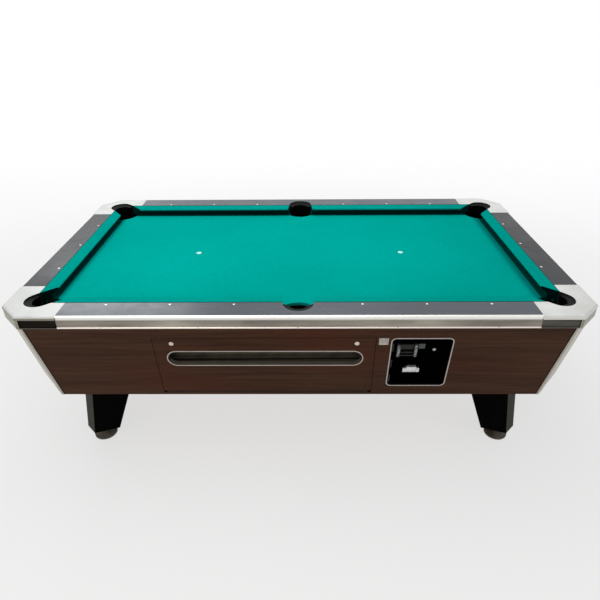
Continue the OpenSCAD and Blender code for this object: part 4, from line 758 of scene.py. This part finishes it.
def soft_cushion(node):
    """Rubber cushion in its cloth, with all its edges rolled."""
    bm = node_bmesh(node)
    sharp = [e for e in bm.edges if len(e.link_faces) == 2
             and e.calc_face_angle(0) > math.radians(14)]
    bmesh.ops.bevel(bm, geom=sharp, offset=0.0016, segments=3, profile=0.6,
                    affect="EDGES", clamp_overlap=True)
    bmesh.ops.triangulate(bm, faces=[f for f in bm.faces if len(f.verts) > 4])
    obj = piece("cloth_" + node, bm, CUSHION, "table")
    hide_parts(node)


def pocket_edges(bm, half_x, half_y):
    """Edges of a flat sheet along its pocket cuts, leaving out its outer edge."""
    cut = []
    for e in bm.edges:
        if len(e.link_faces) != 1:
            continue
        a, b = e.verts
        outer = any(abs(abs(a.co[i]) - half) < 5e-4 and abs(abs(b.co[i]) - half) < 5e-4
                    for i, half in ((0, half_x), (1, half_y)))
        mid = (a.co + b.co) / 2
        corner = abs(mid.x) > NOSE_X - 0.08 and abs(mid.y) > NOSE_Y - 0.08
        side = abs(mid.x) < 0.09
        if not outer and (corner or side) and e.calc_length() > 1e-5:
            cut.append(e)
    return cut


def turn_down(bm, edges):
    """Draws edges over a rounded brink and down, each point away from the sheet."""
    away = {}
    for e in edges:
        mid = (e.verts[0].co + e.verts[1].co) / 2
        d = (e.verts[1].co - e.verts[0].co).cross(Vector((0, 0, 1))).normalized()
        if d.dot(mid - e.link_faces[0].calc_center_median()) < 0:
            d = -d
        for v in e.verts:
            away[v] = away.get(v, Vector()) + d
    for out, down in ((0.0006, -0.0003), (0.0004, -0.0009), (0.0001, -0.012)):
        made = bmesh.ops.extrude_edge_only(bm, edges=edges)["geom"]
        new = [v for v in made if isinstance(v, bmesh.types.BMVert)]
        edges = [e for e in made if isinstance(e, bmesh.types.BMEdge)
                 and e.verts[0] in new and e.verts[1] in new]
        came = {}
        for v in new:
            for e in v.link_edges:
                o = e.other_vert(v)
                if o in away and o not in new:
                    came[v] = away[o]
        for v in new:
            d = came.get(v, Vector())
            if d.length > 0:
                v.co += d.normalized() * out
            v.co.z += down
        away = {v: came.get(v, Vector()) for v in new}


def stretched_cloth():
    """Bed cloth on the slate, drawn down over its edge inside each pocket."""
    bm = node_bmesh("bed_cloth")
    top = max(v.co.z for v in bm.verts)
    drop = [f for f in bm.faces
            if not (f.normal.z > 0.9 and f.calc_center_median().z > top - 1e-4)]
    bmesh.ops.delete(bm, geom=drop, context="FACES")
    lo_x = max(abs(v.co.x) for v in bm.verts)
    lo_y = max(abs(v.co.y) for v in bm.verts)
    area = sum(f.calc_area() for f in bm.faces)
    turn_down(bm, pocket_edges(bm, lo_x, lo_y))
    obj = piece("stretched_cloth", bm, CLOTH, "table", smooth=False)
    for f in obj.data.polygons:
        f.use_smooth = abs(f.normal.z) < 0.95
    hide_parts("bed_cloth")


def lathe(profile, turns):
    """Surface of revolution about +Z, from its rim to a point on the axis."""
    bm = bmesh.new()
    rings = []
    for r, z in profile:
        if r < 1e-7:
            rings.append([bm.verts.new((0, 0, z))])
            continue
        rings.append([bm.verts.new((r * math.cos(2 * math.pi * i / turns),
                                    r * math.sin(2 * math.pi * i / turns), z))
                      for i in range(turns)])
    for a, b in zip(rings, rings[1:]):
        for i in range(turns):
            j = (i + 1) % turns
            if len(b) == 1:
                bm.faces.new((a[i], b[0], a[j]))
            else:
                bm.faces.new((a[i], b[i], b[j], a[j]))
    return bm


def screw_head(r, h):
    """Domed head with a cross recess."""
    arc = [(r * math.cos(t), h * math.sin(t)) for t in (math.pi / 2 / 11 * i for i in range(11))]
    bm = lathe([(r, -0.0008)] + arc + [(0.0, h)], 48)
    slot_w = r * 0.16
    for v in bm.verts:
        x, y = abs(v.co.x), abs(v.co.y)
        if v.co.z > h * 0.45 and min(x, y) < slot_w and max(x, y) < 3.2 * slot_w:
            v.co.z -= 0.0009
    return bm


def turned(bm, at, normal, spin=0.0):
    """Moves a piece made about +Z to a place, facing along a normal."""
    rot = Vector(normal).to_track_quat("Z", "Y").to_matrix().to_4x4()
    bmesh.ops.transform(bm, matrix=Matrix.Translation(at) @ rot @ Matrix.Rotation(spin, 4, "Z"),
                        verts=bm.verts)
    return bm


def trim_screws():
    """Screws through the lower bead of the rail trims."""
    out_y = NOSE_Y + RAIL_W + BEAD_OUT
    out_x = NOSE_X + RAIL_W + BEAD_OUT
    places = []
    for x in BEAD_X:
        places += [((x, -out_y, BEAD_Z), (0, -1, 0)), ((x, out_y, BEAD_Z), (0, 1, 0))]
    for y in BEAD_Y:
        places += [((-out_x, y, BEAD_Z), (-1, 0, 0)), ((out_x, y, BEAD_Z), (1, 0, 0))]
    for i, (at, n) in enumerate(places):
        bm = turned(screw_head(0.0034, 0.0014), at, n, spin=0.4 * i)
        piece("trim_screw_%02d" % i, bm, SCREW, "table")


def rounded_outline(w, h, r, k=8):
    pts = []
    for cx, cy, a0 in ((w / 2 - r, h / 2 - r, 0), (r - w / 2, h / 2 - r, 90),
                       (r - w / 2, r - h / 2, 180), (w / 2 - r, r - h / 2, 270)):
        for i in range(k + 1):
            a = math.radians(a0 + 90 * i / k)
            pts.append((cx + r * math.cos(a), cy + r * math.sin(a)))
    return pts


def plate_bmesh(w, h, r, t, bevel=0.0004):
    """Thin plate with a dished rim."""
    bm = bmesh.new()
    rings = []
    for inset, z in ((0, 0), (0, t - bevel), (bevel, t), (0.0022, t), (0.0028, t - 0.0003)):
        pts = rounded_outline(w - 2 * inset, h - 2 * inset, max(r - inset, 0.0004))
        rings.append([bm.verts.new((x, y, z)) for x, y in pts])
    for a, b in zip(rings, rings[1:]):
        for i in range(len(a)):
            j = (i + 1) % len(a)
            bm.faces.new((a[i], a[j], b[j], b[i]))
    bm.faces.new(rings[-1])
    bm.faces.new(list(reversed(rings[0])))
    return bm


def blank_plate():
    """Bare plate with four rivets, flat on the front apron."""
    c, s = math.cos(TAPER), math.sin(TAPER)
    w, h, t = 0.038, 0.035, 0.0012

    def on_board(u, v, n):
        return Vector((u, -FRONT - s * v - c * n, CAB_Z0 + c * v - s * n))

    bm = plate_bmesh(w, h, 0.003, t)
    basis = Matrix(((1, 0, 0), (0, -s, -c), (0, c, -s))).to_4x4()
    move = Matrix.Translation(on_board(PLATE_U, PLATE_V, 0.0)) @ basis
    bmesh.ops.transform(bm, matrix=move, verts=bm.verts)
    piece("blank_plate", bm, metal("blank_plate", (0.44, 0.41, 0.375), 0.40, share=0.35),
          "table", smooth=False)
    du, dv = 0.0150, 0.0135
    for i, (a, b) in enumerate(((-1, -1), (1, -1), (-1, 1), (1, 1))):
        at = on_board(PLATE_U + a * du, PLATE_V + b * dv, t)
        bm = turned(screw_head(0.0016, 0.0008), at, Vector((0, -c, -s)))
        piece("plate_rivet_%d" % i, bm, SCREW, "table")


def bed_spots():
    """The two spots on the cloth, thin discs with a soft edge."""
    material = spot_mat()
    profile = [(0.0125, -0.0002), (0.0124, 0.00012), (0.0121, 0.00022), (0.007, 0.00026),
               (0.0, 0.00028)]
    for i, x in enumerate((-SPOT_X, SPOT_X)):
        bm = turned(lathe(profile, 48), (x, 0, BED), (0, 0, 1))
        piece("bed_spot_%d" % i, bm, material, "table")


for name in CUSHIONS:
    soft_cushion(name)
stretched_cloth()
trim_screws()
blank_plate()
bed_spots()


# Floor, light and camera

def floor_material():
    """Pale floor that takes shadows near the table, glows further out and fades to white."""
    material = bpy.data.materials.new("pale_floor")
    material.use_nodes = True
    f = Tree(material.node_tree)
    place = f.node("TexCoord").outputs["Object"]
    parts = f.node("SeparateXYZ")
    f.put(parts.inputs[0], place)
    tone = f.ramp(f.step(parts.outputs[1], -1.0, 4.6, kind="LINEAR"),
                  [(at, (v, v, v * 1.002))
                   for at, v in ((0.0, 0.91), (0.20, 0.90), (0.45, 0.92), (1.0, 1.0))])
    off = f.vec("LENGTH", place)
    pale = f.mix(f.step(off, 3.0, 11.0), tone, (1, 1, 1))
    lit, glow = f.node("BsdfDiffuse"), f.node("Emission")
    f.put(lit.inputs[0], pale).put(glow.inputs[0], pale)
    ray = f.node("LightPath").outputs
    seen = f.most(ray["Is Camera Ray"], ray["Is Glossy Ray"])
    f.end("OutputMaterial", f.mul(seen, f.step(off, 1.2, 4.0, 0.70, 1.0)), lit, glow)
    return material


def make_floor():
    bm = bmesh.new()
    bmesh.ops.create_grid(bm, x_segments=2, y_segments=2, size=300)
    mesh = bpy.data.meshes.new("studio_floor")
    bm.to_mesh(mesh)
    bm.free()
    floor = bpy.data.objects.new("studio_floor", mesh)
    scene.collection.objects.link(floor)
    mesh.materials.append(floor_material())


def make_world():
    """Dim warm light on the object, plain white behind it and in its reflections."""
    world = bpy.data.worlds.new("studio_world")
    scene.world = world
    world.use_nodes = True
    w = Tree(world.node_tree)
    light, seen = w.node("Background"), w.node("Background")
    w.put(light.inputs[0], (1.0, 0.995, 0.985, 1)).put(light.inputs[1], 0.46)
    w.put(seen.inputs[0], (1, 1, 1, 1)).put(seen.inputs[1], 1.0)
    ray = w.node("LightPath").outputs
    any_seen = w.most(w.most(ray["Is Camera Ray"], ray["Is Glossy Ray"]),
                      ray["Is Transmission Ray"])
    w.end("OutputWorld", any_seen, light, seen)


def area_lamp(name, at, to, size, power, color):
    data = bpy.data.lights.new(name, "AREA")
    data.shape = "RECTANGLE"
    data.size, data.size_y = size
    data.energy = power
    data.color = color
    lamp = bpy.data.objects.new(name, data)
    scene.collection.objects.link(lamp)
    lamp.location = at
    lamp.rotation_euler = (Vector(to) - Vector(at)).to_track_quat("-Z", "Y").to_euler()


def make_camera(at, lens, pitch, yaw, roll):
    """Camera solved from the rail sights and cushion noses; angles in degrees."""
    data = bpy.data.cameras.new("camera")
    data.sensor_width = 36
    data.lens = lens
    camera = bpy.data.objects.new("camera", data)
    scene.collection.objects.link(camera)
    pitch, yaw, roll = math.radians(pitch), math.radians(yaw), math.radians(roll)
    fwd = Vector((math.sin(yaw) * math.cos(pitch), math.cos(yaw) * math.cos(pitch),
                  -math.sin(pitch)))
    level = Vector((math.cos(yaw), -math.sin(yaw), 0))
    up = level.cross(fwd)
    r = math.cos(roll) * level + math.sin(roll) * up
    u = -math.sin(roll) * level + math.cos(roll) * up
    camera.matrix_world = Matrix([(r[i], u[i], -fwd[i], at[i]) for i in range(3)]
                                 + [(0, 0, 0, 1)])
    scene.camera = camera


make_floor()
make_world()
for lamp in (
    ("overhead", (-0.35, 0.30, 2.9), (-0.1, 0.05, 0.8), (3.6, 1.8), 46, (1.0, 0.99, 0.97)),
    ("left_window", (-2.55, 3.7, 3.4), (-0.7, -0.3, 0.8), (1.8, 1.4), 25, (0.95, 0.985, 1.0)),
    ("front_fill", (-1.2, -4.6, 2.6), (0, -0.4, 0.5), (4.0, 2.0), 42, (1.0, 0.985, 0.96)),
    ("right_card", (3.4, -2.2, 1.5), (1.1, -0.5, 0.75), (1.2, 1.2), 6, (1.0, 0.98, 0.95)),
):
    area_lamp(*lamp)
make_camera((0.0287, -2.3015, 1.8435), 30.56, 30.37, -0.70, -0.49)
scene.view_settings.view_transform = "Standard"
